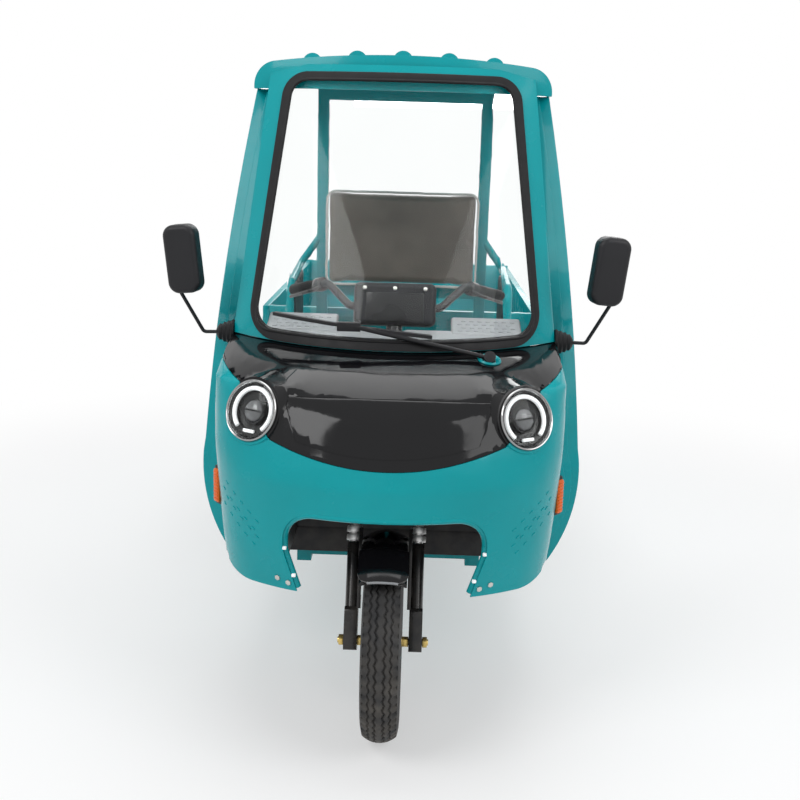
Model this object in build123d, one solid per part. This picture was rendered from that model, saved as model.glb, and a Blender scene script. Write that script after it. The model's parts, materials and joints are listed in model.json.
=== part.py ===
from build123d import *
import os

os.makedirs("parts", exist_ok=True)

# Driving sizes in millimetres. While modelling, y = 0 is the front axle, the front faces -Y,
# and z = 0 is the ground. place() moves the finished vehicle to the middle of its box.

# Wheels and layout
WHEELBASE = 2130
TRACK_REAR = 850
TYRE_R = 250
TYRE_W = 98
RIM_R = 152
HUB_R = 58
HUB_HALF = 44
WINDOW_R = 20
WINDOW_COUNT = 8
STUB_R = 15
AXLE_R = 8
RUN = 0.05             # radial running clearance of a shaft in its bore
GAP = 0.5              # clearance between fitted pieces

# Fork and steering
RAKE = 24
FORK_OFFSET = 46       # from the fork legs to the steering axis
LEG_X = 83
LEG_R = 17
STANCHION_R = 13
LEG_TOP = 250          # heights along the fork, from the axle
CROWN_S = 470
HEAD_TOP = 700
STEM_TOP = 890
STEM_R = 22
BAR_R = 11
BINNACLE = (224, 92, 116)
BINNACLE_TILT = 12
STAY_T = 9
STAY_W = 20
STAY_LOW = 80

# Front mudguard: angles from straight up, around the wheel
GUARD_R = 284
GUARD_HALF = 59
GUARD_FRONT = 36
GUARD_REAR = 60

# Cab shell: sections from the feet to the roof, each a bowed front, two round knees and straight sides
WALL = 8
# columns: height, half width, front centre y, knee x, knee y, side y, rear y
NOSE_SECTIONS = (
    (390, 418, -98, 330, -2, 158, 330),
    (500, 434, -122, 340, -14, 167, 345),
    (610, 444, -132, 345, -20, 174, 357),
    (740, 448, -122, 372, -6, 142, 372),
    (850, 449, -72, 392, 42, 148, 405),
    (905, 448, -12, 388, 66, 155, 428),
    (945, 447, 68, 345, 160, 280, 448),
    (970, 445, 165, 300, 263, 395, 465),
)
# the same columns, for the raked screen surround above the nose
SCREEN_SECTIONS = (
    (970, 445, 165, 300, 263, 395, 465),
    (1700, 375, 568, 250, 612, 665, 730),
)
KNEE_INSET = 0.7        # how far a knee moves along x and y for each unit of inset
SEAM = 1.5             # gap between neighbouring body panels

# Openings seen from the front: half widths and heights
SCREEN_BOTTOM = (376, 1000)
SCREEN_TOP = (306, 1654)
SCREEN_CORNER = 48
SEAL_W = 26
SEAL_PROUD = 7
GLASS_T = 6
ARCH_TOP_Z = 622
ARCH_HALF = 250
ARCH_TOP_CORNER = 80
FOOT_Z = 405
FOOT_HALF = 214
FOOT_RISE = 110        # height over which the arch narrows to its feet
CORNER_R = 130         # rounding of the fairing's lower corners
SILL_Z = 330           # underside of the side arch mouldings
SMILE_Z = 738          # lowest point of the nose panel's lower edge

# Lamps and mirrors
LAMP_X = 330
LAMP_Y = 16
LAMP_Z = 842
LAMP_R = 77
LAMP_YAW = 31
LAMP_RIM = 18           # how far the bezel stands in front of the lamp's centre
LAMP_TILT = 18
POD_RIM = 7            # width of the moulded lamp seat's face
POD_FLARE = 52         # how much wider the seat is at its root
POD_DEPTH = 120
MIRROR_X = 574
MIRROR_Z = 1172
MIRROR_SIZE = (92, 42, 184)
MIRROR_BASE_Z = 966
MIRROR_BASE_Y = 418
MIRROR_Y = 360
MARKER_X = 440
MARKER_Y = 150
MARKER_Z = 607
MARKER_YAW = 66
WIPER_X = 250
WIPER_Y = 160
WIPER_Z = 957

# Side arch mouldings: outline seen from the front, and its three steps
ARCH_OUT = 530
STEP_W = 32
STEP_D = 30
STEP_SHIFT = 26

# Roof
ROOF_Z = 1728
ROOF_EDGE_Z = 1702
ROOF_LOW_Z = 1633      # underside of the roof's skirts
ROOF_HALF = 428
ROOF_CORNER = 82       # rounding of the roof's shoulders
ROOF_REAR = 1420
ROOF_T = 14
ROOF_SETBACK = 14
RIB_COUNT = 5
RIB_PITCH = 129
RIB_W = 52
RIB_H = 14
RIB_SETBACK = 22

# Cab inside
FLOOR_Z = 392
FLOOR_T = 12
FLOOR_FRONT = 348
FLOOR_HALF = 455
DASH_Z = 955
DASH_T = 10
DASH_REAR = 445
STEER_CLEAR = 140      # radius kept free round the steering axis
BATTERY = (420, 300, 210)
SEAT_FRONT = 800
SEAT_REAR = 1270
SEAT_HALF = 330
SEAT_BOX_Z = 690
CUSHION_T = 90
PORTAL_Y = 1310
PORTAL_HALF = 300
PORTAL_TOP = 1665
PORTAL_TUBE = 38
RAIL_R = 13
RAIL_X = 354
RAIL_Z = 1170
PAD_T = 22
BACKREST = (530, 80, 330)
BACKREST_Z = 1000

# Cargo bed and rear
BED_FRONT = 1360
BED_LENGTH = 1500
BED_HALF = 500
BED_FLOOR_Z = 600
BED_FLOOR_T = 20
BED_WALL_H = 300
BED_WALL_T = 25
DECK_T = 4
DECK_GAP = 5
HINGE_X = 330
HINGE_OUT = 16
PIN_R = 6
GATE_SET = 9
TIE_X = 600            # tie-down hole pattern
TIE_Y = 960
TIE_R = 6
CHASSIS_X = 240
CHASSIS_TUBE = 60
CHASSIS_Z = 380        # top of the front rails, under the cab floor
BUMPER_OUT = 45
RAIL_FRONT = 358
BUMPER_R = 20
BUMPER_Z = 420
BEAM_R = 32
CASE_R = 105
MOTOR_R = 95
SPRING_HALF = 330
SPRING_RISE = 120
REAR_GUARD_R = 292
REAR_GUARD_HALF = 64

# Arch liner round the front wheel
LINER_HALF = 262
LINER_TOP = 640
LINER_REAR = 345
LINER_T = 4

BED_REAR = BED_FRONT + BED_LENGTH
BACK_END = BED_REAR + BUMPER_OUT
CENTRE_SHIFT = (TYRE_R - BACK_END) / 2
FORK = Pos(0, 0, TYRE_R) * Rot(-RAKE, 0, 0)
STEER = FORK * Pos(0, FORK_OFFSET, 0)


def place(name, *solids):
    """Move a finished piece into the shared frame and write it."""
    body = Compound(children=list(solids)) if len(solids) > 1 else solids[0]
    export_step(Pos(0, CENTRE_SHIFT, 0) * body, f"parts/{name}.step")


def mirrored(solid):
    return mirror(solid, about=Plane.YZ)


def tube(path_points, radius, bend):
    """A round tube along straight runs with bends of one radius."""
    path = FilletPolyline(*path_points, radius=bend)
    return sweep(Plane(path @ 0, z_dir=path % 0) * Circle(radius), path=path)


def rod(start, end, radius):
    """A straight round bar between two points."""
    start, end = Vector(*start), Vector(*end)
    run = end - start
    return extrude(Plane(start, z_dir=run) * Circle(radius), run.length)


def from_front(face, start=-400, depth=2400):
    """Extrude an outline drawn in x and z, from y = start towards the rear."""
    return extrude(Plane.XZ.offset(-start) * face, depth, dir=(0, 1, 0))


def from_side(face, half):
    """Extrude an outline drawn in y and z to both sides of the centre plane."""
    return extrude(Plane.YZ * face, half, both=True)


def shell_form(sections, inset=0.0, rear_run=0.0):
    """Loft of bowed sections, moved inwards by inset."""
    faces = []
    for z, half, front, knee_x, knee_y, side, rear in sections:
        half = half - inset
        knee = (knee_x - KNEE_INSET * inset, knee_y + KNEE_INSET * inset)
        bow = ThreePointArc((-knee[0], knee[1]), (0, front + inset), knee)
        right = TangentArc(knee, (half, side), tangent=bow % 1)
        left = TangentArc((-knee[0], knee[1]), (-half, side), tangent=(bow % 0) * -1)
        sides = Polyline((half, side), (half, rear + rear_run), (-half, rear + rear_run), (-half, side))
        faces.append(Pos(0, 0, z) * make_face([bow, right, sides, left]))
    return loft(faces, ruled=True)


def shell_wall(sections, outer=0.0, inner=WALL):
    """The wall between two insets of a form, open at the back."""
    return shell_form(sections, outer) - shell_form(sections, inner, 1)


def screen_outline(grow):
    """The windscreen opening seen from the front, moved outwards by grow."""
    half_low, z_low = SCREEN_BOTTOM
    half_top, z_top = SCREEN_TOP
    corners = (
        (-half_low - grow, z_low - grow),
        (half_low + grow, z_low - grow),
        (half_top + grow, z_top + grow),
        (-half_top - grow, z_top + grow),
    )
    outline = make_face(Polyline(*corners, close=True))
    return fillet(outline.vertices(), SCREEN_CORNER + grow)


def nose_outline(grow):
    """The black nose panel seen from the front: a smile below, two tips towards the mirrors."""
    tip_x = NOSE_SECTIONS[-1][1] + 40
    tip_z = SCREEN_BOTTOM[1]
    lamp_top = (LAMP_X + 42 + grow, LAMP_Z + 64 - grow)
    smile_end = (LAMP_X - 46 + grow, LAMP_Z - 56 - grow)
    smile = ThreePointArc((-smile_end[0], smile_end[1]), (0, SMILE_Z - grow), smile_end)
    right = Polyline(smile_end, lamp_top, (tip_x, LAMP_Z + 104 - grow), (tip_x, tip_z))
    top = Line((tip_x, tip_z), (-tip_x, tip_z))
    left = Polyline((-tip_x, tip_z), (-tip_x, LAMP_Z + 104 - grow), (-lamp_top[0], lamp_top[1]),
                    (-smile_end[0], smile_end[1]))
    return make_face([smile, right, top, left])


def gloss_outline():
    """The glossy insert inside the nose panel's satin border."""
    top_z = SCREEN_BOTTOM[1] - 108
    top = ThreePointArc((-LAMP_X + 75, top_z - 8), (0, top_z), (LAMP_X - 75, top_z - 8))
    low_x = LAMP_X - 110
    low_z = SMILE_Z + 52
    smile = ThreePointArc((-low_x, low_z), (0, SMILE_Z + 26), (low_x, low_z))
    sides = [Line((side * (LAMP_X - 75), top_z - 8), (side * low_x, low_z)) for side in (-1, 1)]
    return make_face([top, smile, *sides])


def fairing_outline():
    """The front fairing seen from the front: rounded lower corners and the wheel arch."""
    half = NOSE_SECTIONS[2][1] + 20
    top = NOSE_SECTIONS[-1][0] - SEAM
    outer = make_face(Polyline((-half, FOOT_Z), (half, FOOT_Z), (half, top), (-half, top),
                               close=True))
    low = outer.vertices().group_by(Axis.Y)[0]
    outer = fillet(low, CORNER_R)
    arch = make_face(Polyline((-FOOT_HALF, FOOT_Z - 1), (FOOT_HALF, FOOT_Z - 1), (ARCH_HALF, FOOT_Z + FOOT_RISE),
                              (ARCH_HALF, ARCH_TOP_Z), (-ARCH_HALF, ARCH_TOP_Z),
                              (-ARCH_HALF, FOOT_Z + FOOT_RISE), close=True))
    crown = arch.vertices().group_by(Axis.Y)[-1]
    return outer - fillet(crown, ARCH_TOP_CORNER)


def lamp_place(side):
    """Where a headlamp's front centre sits, facing forwards and outwards."""
    return Pos(side * LAMP_X, LAMP_Y, LAMP_Z) * Rot(0, 0, side * LAMP_YAW) * Rot(90 - LAMP_TILT, 0, 0)


# Front shell: fairing, nose panel with its glossy insert, screen surround
nose_form = shell_form(NOSE_SECTIONS)
pod = Cone(LAMP_R + POD_FLARE, LAMP_R + POD_RIM, POD_DEPTH, align=(Align.CENTER, Align.CENTER, Align.MAX))
lamp_pods = [lamp_place(side) * Pos(0, 0, LAMP_RIM - 6) * pod for side in (-1, 1)]
nose_wall = (nose_form + lamp_pods) - shell_form(NOSE_SECTIONS, WALL, 1)
nose_cutter = from_front(nose_outline(0))
lamp_holes = Part() + [lamp_place(side) * Pos(0, 0, -40) * Cylinder(LAMP_R + GAP, 220) for side in (-1, 1)]
fairing = nose_wall & from_front(fairing_outline())
fairing = fairing - from_front(nose_outline(SEAM)) - lamp_holes
nose_panel = (nose_wall & nose_cutter) - lamp_holes
gloss_cutter = from_front(gloss_outline())
gloss_pocket = shell_wall(NOSE_SECTIONS, -1, 4) & gloss_cutter
nose_screen = shell_wall(NOSE_SECTIONS, -1, 4 - GAP) & gloss_cutter
nose_panel = nose_panel - gloss_pocket
place("front_fairing", fairing)
place("nose_panel", nose_panel)
place("nose_screen", nose_screen)


def roof_height(x):
    """Height of the roof's crowned skin at a distance from the centre plane."""
    rise = ROOF_Z - ROOF_EDGE_Z
    crown_r = (ROOF_HALF ** 2 + rise ** 2) / (2 * rise)
    return ROOF_Z - crown_r + (crown_r ** 2 - x ** 2) ** 0.5


def roof_outline(inset):
    """The crowned roof seen from the front, with round shoulders above straight skirts."""
    half = ROOF_HALF - inset
    crown = ThreePointArc((-half, ROOF_EDGE_Z - inset), (0, ROOF_Z - inset), (half, ROOF_EDGE_Z - inset))
    skirts = Polyline((half, ROOF_EDGE_Z - inset), (half, ROOF_LOW_Z), (-half, ROOF_LOW_Z),
                      (-half, ROOF_EDGE_Z - inset))
    outline = make_face([crown, skirts])
    shoulders = outline.vertices().group_by(Axis.Y)[-1]
    return fillet(shoulders, min(ROOF_CORNER, ROOF_EDGE_Z - ROOF_LOW_Z - 1) - inset)


def roof_plan(inset):
    """The roof seen from above: a bowed front edge and straight sides."""
    front = SCREEN_SECTIONS[-1][2] + ROOF_SETBACK + inset
    side = SCREEN_SECTIONS[-1][5] + ROOF_SETBACK
    half = ROOF_HALF + 1
    bow = ThreePointArc((-half, side), (0, front), (half, side))
    sides = Polyline((half, side), (half, ROOF_REAR), (-half, ROOF_REAR), (-half, side))
    return extrude(Pos(0, 0, ROOF_LOW_Z - 20) * make_face([bow, sides]), 400)


def roof_rib(x):
    """One raised lengthwise rib, rounded across, with a sloped front end."""
    left, right = x - RIB_W / 2, x + RIB_W / 2
    low = [roof_height(edge) - 3 for edge in (left, right)]
    top = ThreePointArc((left, low[0]), (x, roof_height(x) + RIB_H), (right, low[1]))
    bar = make_face([top, Line((left, low[0]), (right, low[1]))])
    start = SCREEN_SECTIONS[-1][2] + ROOF_SETBACK + RIB_SETBACK + abs(x) ** 2 / 1700
    return from_front(bar, start, ROOF_REAR - start - RIB_SETBACK)


roof_block = from_front(roof_outline(0)) & roof_plan(0)
roof_hollow = from_front(roof_outline(ROOF_T)) & roof_plan(ROOF_T)
roof = roof_block - roof_hollow
for index in range(RIB_COUNT):
    roof += roof_rib((index - (RIB_COUNT - 1) / 2) * RIB_PITCH) - roof_hollow

# Screen surround, glass and the rubber that grips both
over_roof = from_front(make_face(Polyline(
    (-ROOF_HALF, ROOF_LOW_Z), (ROOF_HALF, ROOF_LOW_Z), (ROOF_HALF, 2 * ROOF_Z), (-ROOF_HALF, 2 * ROOF_Z),
    close=True)) - roof_outline(0))
surround = shell_wall(SCREEN_SECTIONS) - over_roof - roof_block
surround = surround - from_front(screen_outline(SEAL_W / 2))
surround = surround - Pos(0, 0, SCREEN_SECTIONS[0][0]) * Box(2000, 2000, 2 * SEAM)
glass = shell_wall(SCREEN_SECTIONS, 1, 1 + GLASS_T) & from_front(screen_outline(SEAL_W / 2 - GAP))
seal_ring = from_front(screen_outline(SEAL_W) - screen_outline(0))
seal = shell_wall(SCREEN_SECTIONS, -SEAL_PROUD, WALL + SEAL_PROUD) & seal_ring
seal = seal - surround - glass - roof_block
place("roof_panel", roof)
place("screen_surround", surround)
place("windscreen_glass", glass)
place("windscreen_seal", seal)


def arch_region(inset):
    """The cab's half outline seen from the front, from the roof edge round to the sill."""
    crown = (ROOF_HALF - 3 - inset, ROOF_LOW_Z)
    waist = (ARCH_OUT - 33 - inset, 1100)
    flank = (ARCH_OUT - inset, 660)
    elbow = (ARCH_OUT - 20 - inset * 0.8, 436 + inset * 0.3)
    sill = (ARCH_OUT - 72 - inset, SILL_Z + inset)
    side = ThreePointArc(crown, waist, flank)
    corner = ThreePointArc(flank, elbow, sill)
    rest = Polyline(sill, (0, sill[1]), (0, crown[1]), crown)
    return make_face([side, corner, rest])


def arch_strip(front_step):
    """The moulding's depth seen from the side, leaning back with the screen pillar."""
    front = [(340, 300), (352, 620), (445, 970), (690, 1700)]
    rear_y = [y + 2 * STEP_SHIFT + STEP_D for y, z in front]
    front = [(y + front_step, z) for y, z in front]
    back = [(y, z) for y, (_, z) in zip(rear_y, front)][::-1]
    return from_side(make_face(Polyline(*front, *back, close=True)), 700)


below_nose = (SILL_Z - 10, *NOSE_SECTIONS[0][1:])
cab_solid = shell_form((below_nose, *NOSE_SECTIONS), -GAP, 400) + shell_form(SCREEN_SECTIONS, -GAP, 400)
arch_left = Part()
for step in range(3):
    band = arch_region(step * STEP_W) - arch_region((step + 1) * STEP_W)
    arch_left += from_front(band, 0, 1000) & arch_strip((2 - step) * STEP_SHIFT)
arch_left = arch_left - cab_solid - roof_block
place("side_arch_left", arch_left)
place("side_arch_right", mirrored(arch_left))

# Headlamps, side markers, mirrors and wiper
LENS_R = LAMP_R - 10
LAMP_DEPTH = 85
bowl = revolve(Plane.XZ * make_face(Polyline(
    (0, -LAMP_DEPTH), (LAMP_R - 30, -LAMP_DEPTH), (LAMP_R, -LAMP_RIM), (LAMP_R, LAMP_RIM - 4),
    (LAMP_R - 4, LAMP_RIM), (LENS_R, LAMP_RIM), (LENS_R, 4), (0, 4), close=True)), Axis.Z)
halo = Pos(0, 0, 4) * (Cylinder(LENS_R - 4, 9, align=(Align.CENTER, Align.CENTER, Align.MIN))
                       - Cylinder(LENS_R - 18, 9, align=(Align.CENTER, Align.CENTER, Align.MIN)))
halo = halo - Pos(0, -LENS_R, 8) * Box(LENS_R * 0.9, LENS_R, 40)
bullseye = Pos(0, 4, 4) * Cylinder(LENS_R * 0.42, 8, align=(Align.CENTER, Align.CENTER, Align.MIN))
lamp = bowl + halo + fillet(bullseye.edges().group_by(Axis.Z)[-1], 5)
for name, side in (("headlamp_left", 1), ("headlamp_right", -1)):
    place(name, lamp_place(side) * lamp)

marker = Box(26, 18, 104)
marker = fillet(marker.edges().filter_by(Axis.Y), 11)
marker_spots = [Pos(side * MARKER_X, MARKER_Y, MARKER_Z) * Rot(0, 0, side * MARKER_YAW) * marker
                for side in (-1, 1)]
for name, spot in zip(("side_marker_right", "side_marker_left"), marker_spots):
    place(name, spot - nose_form)

base_x = NOSE_SECTIONS[-1][1]
base = Pos(base_x, MIRROR_BASE_Y, MIRROR_BASE_Z) * Rot(0, 90, 0) * Cone(
    24, 11, 48, align=(Align.CENTER, Align.CENTER, Align.MIN))
housing = fillet(Box(*MIRROR_SIZE).edges().filter_by(Axis.Y), 30)
housing = fillet(housing.edges().group_by(Axis.Y)[0], 14)
housing = Pos(MIRROR_X, MIRROR_Y, MIRROR_Z) * Rot(0, 6, 12) * housing
mirror_foot = (MIRROR_X + 12, MIRROR_Y, MIRROR_Z - MIRROR_SIZE[2] / 2 + 10)
arm = tube([(base_x + 40, MIRROR_BASE_Y, MIRROR_BASE_Z), (base_x + 85, MIRROR_BASE_Y - 6, MIRROR_BASE_Z),
            mirror_foot], 5, 12)
mirror_left = base - nose_form + arm + housing
pane = fillet(Box(MIRROR_SIZE[0] - 14, 3, MIRROR_SIZE[2] - 14).edges().filter_by(Axis.Y), 24)
pane = Pos(MIRROR_X, MIRROR_Y, MIRROR_Z) * Rot(0, 6, 12) * Pos(0, MIRROR_SIZE[1] / 2 + 1.5, 0) * pane
place("mirror_left", mirror_left)
place("mirror_right", mirrored(mirror_left))
place("mirror_panes", pane, mirrored(pane))

blade = sweep(Plane((-315, 268, 1046), z_dir=(1, -0.5, 0)) * Rectangle(16, 9),
              path=ThreePointArc((-315, 268, 1046), (-105, 184, 1031), (100, 181, 1011)))
connector = Pos(-112, 178, 1032) * Box(60, 24, 22)
arm = rod((WIPER_X, WIPER_Y, WIPER_Z + 8), (-112, 172, 1036), 6)
boss = rod((WIPER_X, WIPER_Y - 12, WIPER_Z + 14), (WIPER_X, WIPER_Y + 90, WIPER_Z - 40), 15)
wiper = blade + connector + arm + (boss - nose_form - nose_panel)
place("wiper", wiper)


# Wheels: tyre and rim are turned about the wheel's own axis, along x
def tyre():
    half = TYRE_W / 2
    bead = half - 9
    shoulder = (half - 7, TYRE_R - 16)
    side = (half, RIM_R + 44)
    wall_right = ThreePointArc((bead, RIM_R), side, shoulder)
    crown = ThreePointArc(shoulder, (0, TYRE_R), (-shoulder[0], shoulder[1]))
    wall_left = ThreePointArc((-shoulder[0], shoulder[1]), (-side[0], side[1]), (-bead, RIM_R))
    seat = Line((-bead, RIM_R), (bead, RIM_R))
    return revolve(Plane.XZ * make_face([wall_right, crown, wall_left, seat]), Axis.X)


def rim(bore, hub_half):
    """Pressed steel wheel: barrel with flanges, dished disc with windows, hub."""
    half = TYRE_W / 2 - 9
    barrel = Polyline((-half - 4, RIM_R + 12), (-half, RIM_R + 12), (-half, RIM_R), (half, RIM_R),
                      (half, RIM_R + 12), (half + 4, RIM_R + 12), (half + 4, RIM_R - 6),
                      (-half - 4, RIM_R - 6), close=True)
    disc = Polyline((-6, HUB_R - 4), (6, HUB_R - 4), (14, RIM_R - 5), (2, RIM_R - 5), close=True)
    hub = Polyline((-hub_half, bore), (hub_half, bore), (hub_half, HUB_R - 14), (hub_half - 12, HUB_R),
                   (-hub_half + 12, HUB_R), (-hub_half, HUB_R - 14), close=True)
    wheel = Part()
    for outline in (barrel, disc, hub):
        wheel += revolve(Plane.XZ * make_face(outline), Axis.X)
    window = Pos(0, 0, (HUB_R + RIM_R) / 2) * Rot(0, 90, 0) * Cylinder(WINDOW_R, 80)
    for index in range(WINDOW_COUNT):
        wheel = wheel - Rot(360 / WINDOW_COUNT * (index + 0.5), 0, 0) * window
    return wheel


front_wheel = Pos(0, 0, TYRE_R)
front_rim = rim(AXLE_R + RUN, HUB_HALF)
rear_rim = rim(STUB_R + RUN, HUB_HALF)
seated_tyre = tyre() - front_rim
place("front_tyre", front_wheel * seated_tyre)
place("front_rim", front_wheel * front_rim)
for name, side in (("left", 1), ("right", -1)):
    hub_place = Pos(side * TRACK_REAR / 2, WHEELBASE, TYRE_R)
    place(f"rear_tyre_{name}", hub_place * seated_tyre)
    place(f"rear_rim_{name}", hub_place * rear_rim)

# Fork, axle and steering column
leg_inner = LEG_X - LEG_R
axle = Rot(0, 90, 0) * Cylinder(AXLE_R, 2 * (LEG_X + LEG_R + 16))
for side in (-1, 1):
    axle += Pos(side * (HUB_HALF + leg_inner) / 2, 0, 0) * Rot(0, 90, 0) * Cylinder(
        13, leg_inner - HUB_HALF - 2 * GAP)
    axle += Pos(side * (LEG_X + LEG_R + 7), 0, 0) * Rot(0, 90, 0) * extrude(RegularPolygon(15, 6), 6, both=True)
axle = front_wheel * axle
legs, stanchions = [], []
for side in (-1, 1):
    leg = Pos(side * LEG_X, 0, 0) * Cylinder(LEG_R, LEG_TOP, align=(Align.CENTER, Align.CENTER, Align.MIN))
    clamp = fillet((Pos(side * LEG_X, 0, 30) * Box(2 * LEG_R, 54, 110)).edges().filter_by(Axis.X), 14)
    legs.append(FORK * (leg + clamp) - axle)
    post = Pos(side * LEG_X, 0, LEG_TOP) * Cylinder(
        STANCHION_R, CROWN_S - LEG_TOP + 14, align=(Align.CENTER, Align.CENTER, Align.MIN))
    for ring_s in (4, 26):
        post += Pos(side * LEG_X, 0, LEG_TOP + ring_s) * Cylinder(
            LEG_R + 3, 15, align=(Align.CENTER, Align.CENTER, Align.MIN))
    stanchions.append(FORK * post)
crown = fillet((Pos(0, 12, CROWN_S) * Box(2 * LEG_X + 54, 84, 28)).edges().filter_by(Axis.Z), 20)
stem = Pos(0, FORK_OFFSET, CROWN_S) * Cylinder(
    STEM_R, STEM_TOP - CROWN_S, align=(Align.CENTER, Align.CENTER, Align.MIN))
collar = Pos(0, FORK_OFFSET, HEAD_TOP + GAP) * Cylinder(
    STEM_R + 9, 16, align=(Align.CENTER, Align.CENTER, Align.MIN))
steering_stem = FORK * (crown + stem + collar) - (Part() + stanchions)
place("front_axle", axle)
place("fork_stanchions", *stanchions)

bar_centre = (STEER * Pos(0, 0, STEM_TOP + BAR_R)).position
bar_side = [(bar_centre.X + x, bar_centre.Y + y, bar_centre.Z + z) for x, y, z in
            ((300, 190, 10), (190, 60, 50), (125, 4, -4))]
bar_points = bar_side + [(-x, y, z) for x, y, z in reversed(bar_side)]
bar = tube(bar_points, BAR_R, 24)
clamp = STEER * Pos(0, 0, STEM_TOP - 18) * Cylinder(
    STEM_R + 6, 18 + 2 * BAR_R, align=(Align.CENTER, Align.CENTER, Align.MIN))
steering_stem = steering_stem + clamp - bar
place("steering_stem", steering_stem)
grip_run = Vector(*bar_side[0]) - Vector(*bar_side[1])
grip_dir = grip_run.normalized()
grip_end = Vector(*bar_side[0])
grip = rod(grip_end - grip_dir * 122, grip_end + grip_dir * 4, BAR_R + 6) - bar
place("handlebar_grips", grip, mirrored(grip))
lever_clamp = rod(grip_end - grip_dir * 150, grip_end - grip_dir * 124, BAR_R + 9) - bar
lever_points = [grip_end - grip_dir * 137 + Vector(0, -14, -4), grip_end - grip_dir * 118 + Vector(6, -48, -8),
                grip_end + grip_dir * 2 + Vector(4, -40, -14)]
lever = lever_clamp + tube([tuple(point) for point in lever_points], 5, 14)
place("handlebar", bar + lever + mirrored(lever))
binnacle = fillet(Box(*BINNACLE).edges(), 18)
binnacle = Pos(0, bar_centre.Y - 6, bar_centre.Z + 4) * Rot(-BINNACLE_TILT, 0, 0) * binnacle
binnacle = binnacle - bar - steering_stem
place("binnacle", binnacle)

guard_curve = ThreePointArc((-GUARD_HALF, GUARD_R - 22), (0, GUARD_R), (GUARD_HALF, GUARD_R - 22))
guard_inner = ThreePointArc((-GUARD_HALF + 4, GUARD_R - 24), (0, GUARD_R - 4), (GUARD_HALF - 4, GUARD_R - 24))
guard_ends = [Line((side * GUARD_HALF, GUARD_R - 22), (side * (GUARD_HALF - 4), GUARD_R - 24)) for side in (-1, 1)]
guard_face = Plane.XZ * make_face([guard_curve, guard_inner, *guard_ends])
front_guard = front_wheel * revolve(Rot(-GUARD_REAR, 0, 0) * guard_face, Axis.X, GUARD_REAR + GUARD_FRONT)
stay_front = -LEG_R - STAY_W - 4
stay = Pos(0, stay_front, STAY_LOW) * Box(STAY_T, STAY_W, GUARD_R - STAY_LOW, align=(Align.MIN, Align.MIN, Align.MIN))
for hole in range(4):
    stay = stay - Pos(0, stay_front + STAY_W / 2, STAY_LOW + 60 + 30 * hole) * Rot(0, 90, 0) * Cylinder(5, 40)
stay += Pos(0, stay_front, STAY_LOW) * Box(STAY_T, -stay_front, 34, align=(Align.MIN, Align.MIN, Align.MIN))
stay = FORK * Pos(GUARD_HALF + GAP, 0, 0) * stay
leg = legs[1] + stay
place("front_mudguard", front_guard)
place("fork_legs", leg, mirrored(leg))

# Chassis: two kicked-up rails with cross members, steering head and down tube
rail_low = CHASSIS_Z - CHASSIS_TUBE
bed_low = BED_FLOOR_Z - BED_FLOOR_T
kick = BED_FRONT - 15
rail_side = make_face(Polyline(
    (RAIL_FRONT, rail_low), (kick + 25, rail_low), (kick + 205, bed_low - CHASSIS_TUBE),
    (BED_REAR - 10, bed_low - CHASSIS_TUBE), (BED_REAR - 10, bed_low), (kick + 180, bed_low),
    (kick, CHASSIS_Z), (RAIL_FRONT, CHASSIS_Z), close=True))
rail = extrude(Plane.YZ * rail_side, 20, both=True)
chassis = Pos(CHASSIS_X, 0, 0) * rail + Pos(-CHASSIS_X, 0, 0) * rail
cross = Box(2 * CHASSIS_X, 40, 40)
for y in (RAIL_FRONT + 20, 820, 1290):
    chassis += Pos(0, y, CHASSIS_Z - 20) * cross
for y in (kick + 240, WHEELBASE - 420, WHEELBASE + 420, BED_REAR - 30):
    chassis += Pos(0, y, bed_low - 20) * Box(2 * BED_HALF - 60, 40, 40)
head_low = CROWN_S + 14 + GAP
head = STEER * Pos(0, 0, head_low) * Cylinder(
    STEM_R + 9, HEAD_TOP - head_low, align=(Align.CENTER, Align.CENTER, Align.MIN))
down_y = RAIL_FRONT + 14
chassis += rod((0, down_y - 28, 820), (0, down_y, rail_low + 20), 18) + head
chassis = chassis - STEER * Pos(0, 0, CROWN_S) * Cylinder(
    STEM_R + RUN, 400, align=(Align.CENTER, Align.CENTER, Align.MIN))
place("chassis_frame", chassis)

# Arch liner, dash, leg shield and floor, trimmed to the inside of the shell
inside = shell_form(NOSE_SECTIONS, WALL + GAP, 500)
inside_screen = shell_form(SCREEN_SECTIONS, WALL + SEAL_PROUD + GAP, 500)


def liner_outline(inset):
    """The arch liner seen from the front: an upside-down U."""
    half, top, low = LINER_HALF - inset, LINER_TOP - inset, FOOT_Z + 20
    outline = make_face(Polyline((-half, low), (half, low), (half, top), (-half, top), close=True))
    return fillet(outline.vertices().group_by(Axis.Y)[-1], 60)


liner_front = NOSE_SECTIONS[2][2] - 20
liner = from_front(liner_outline(0), liner_front, LINER_REAR - liner_front)
liner = liner - from_front(liner_outline(LINER_T), liner_front - 1, LINER_REAR - LINER_T - liner_front + 1)
liner = liner - STEER * Pos(0, 0, CROWN_S) * Cylinder(STEER_CLEAR, 300)
liner = (liner & inside) - chassis
place("arch_liner", liner)

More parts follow.
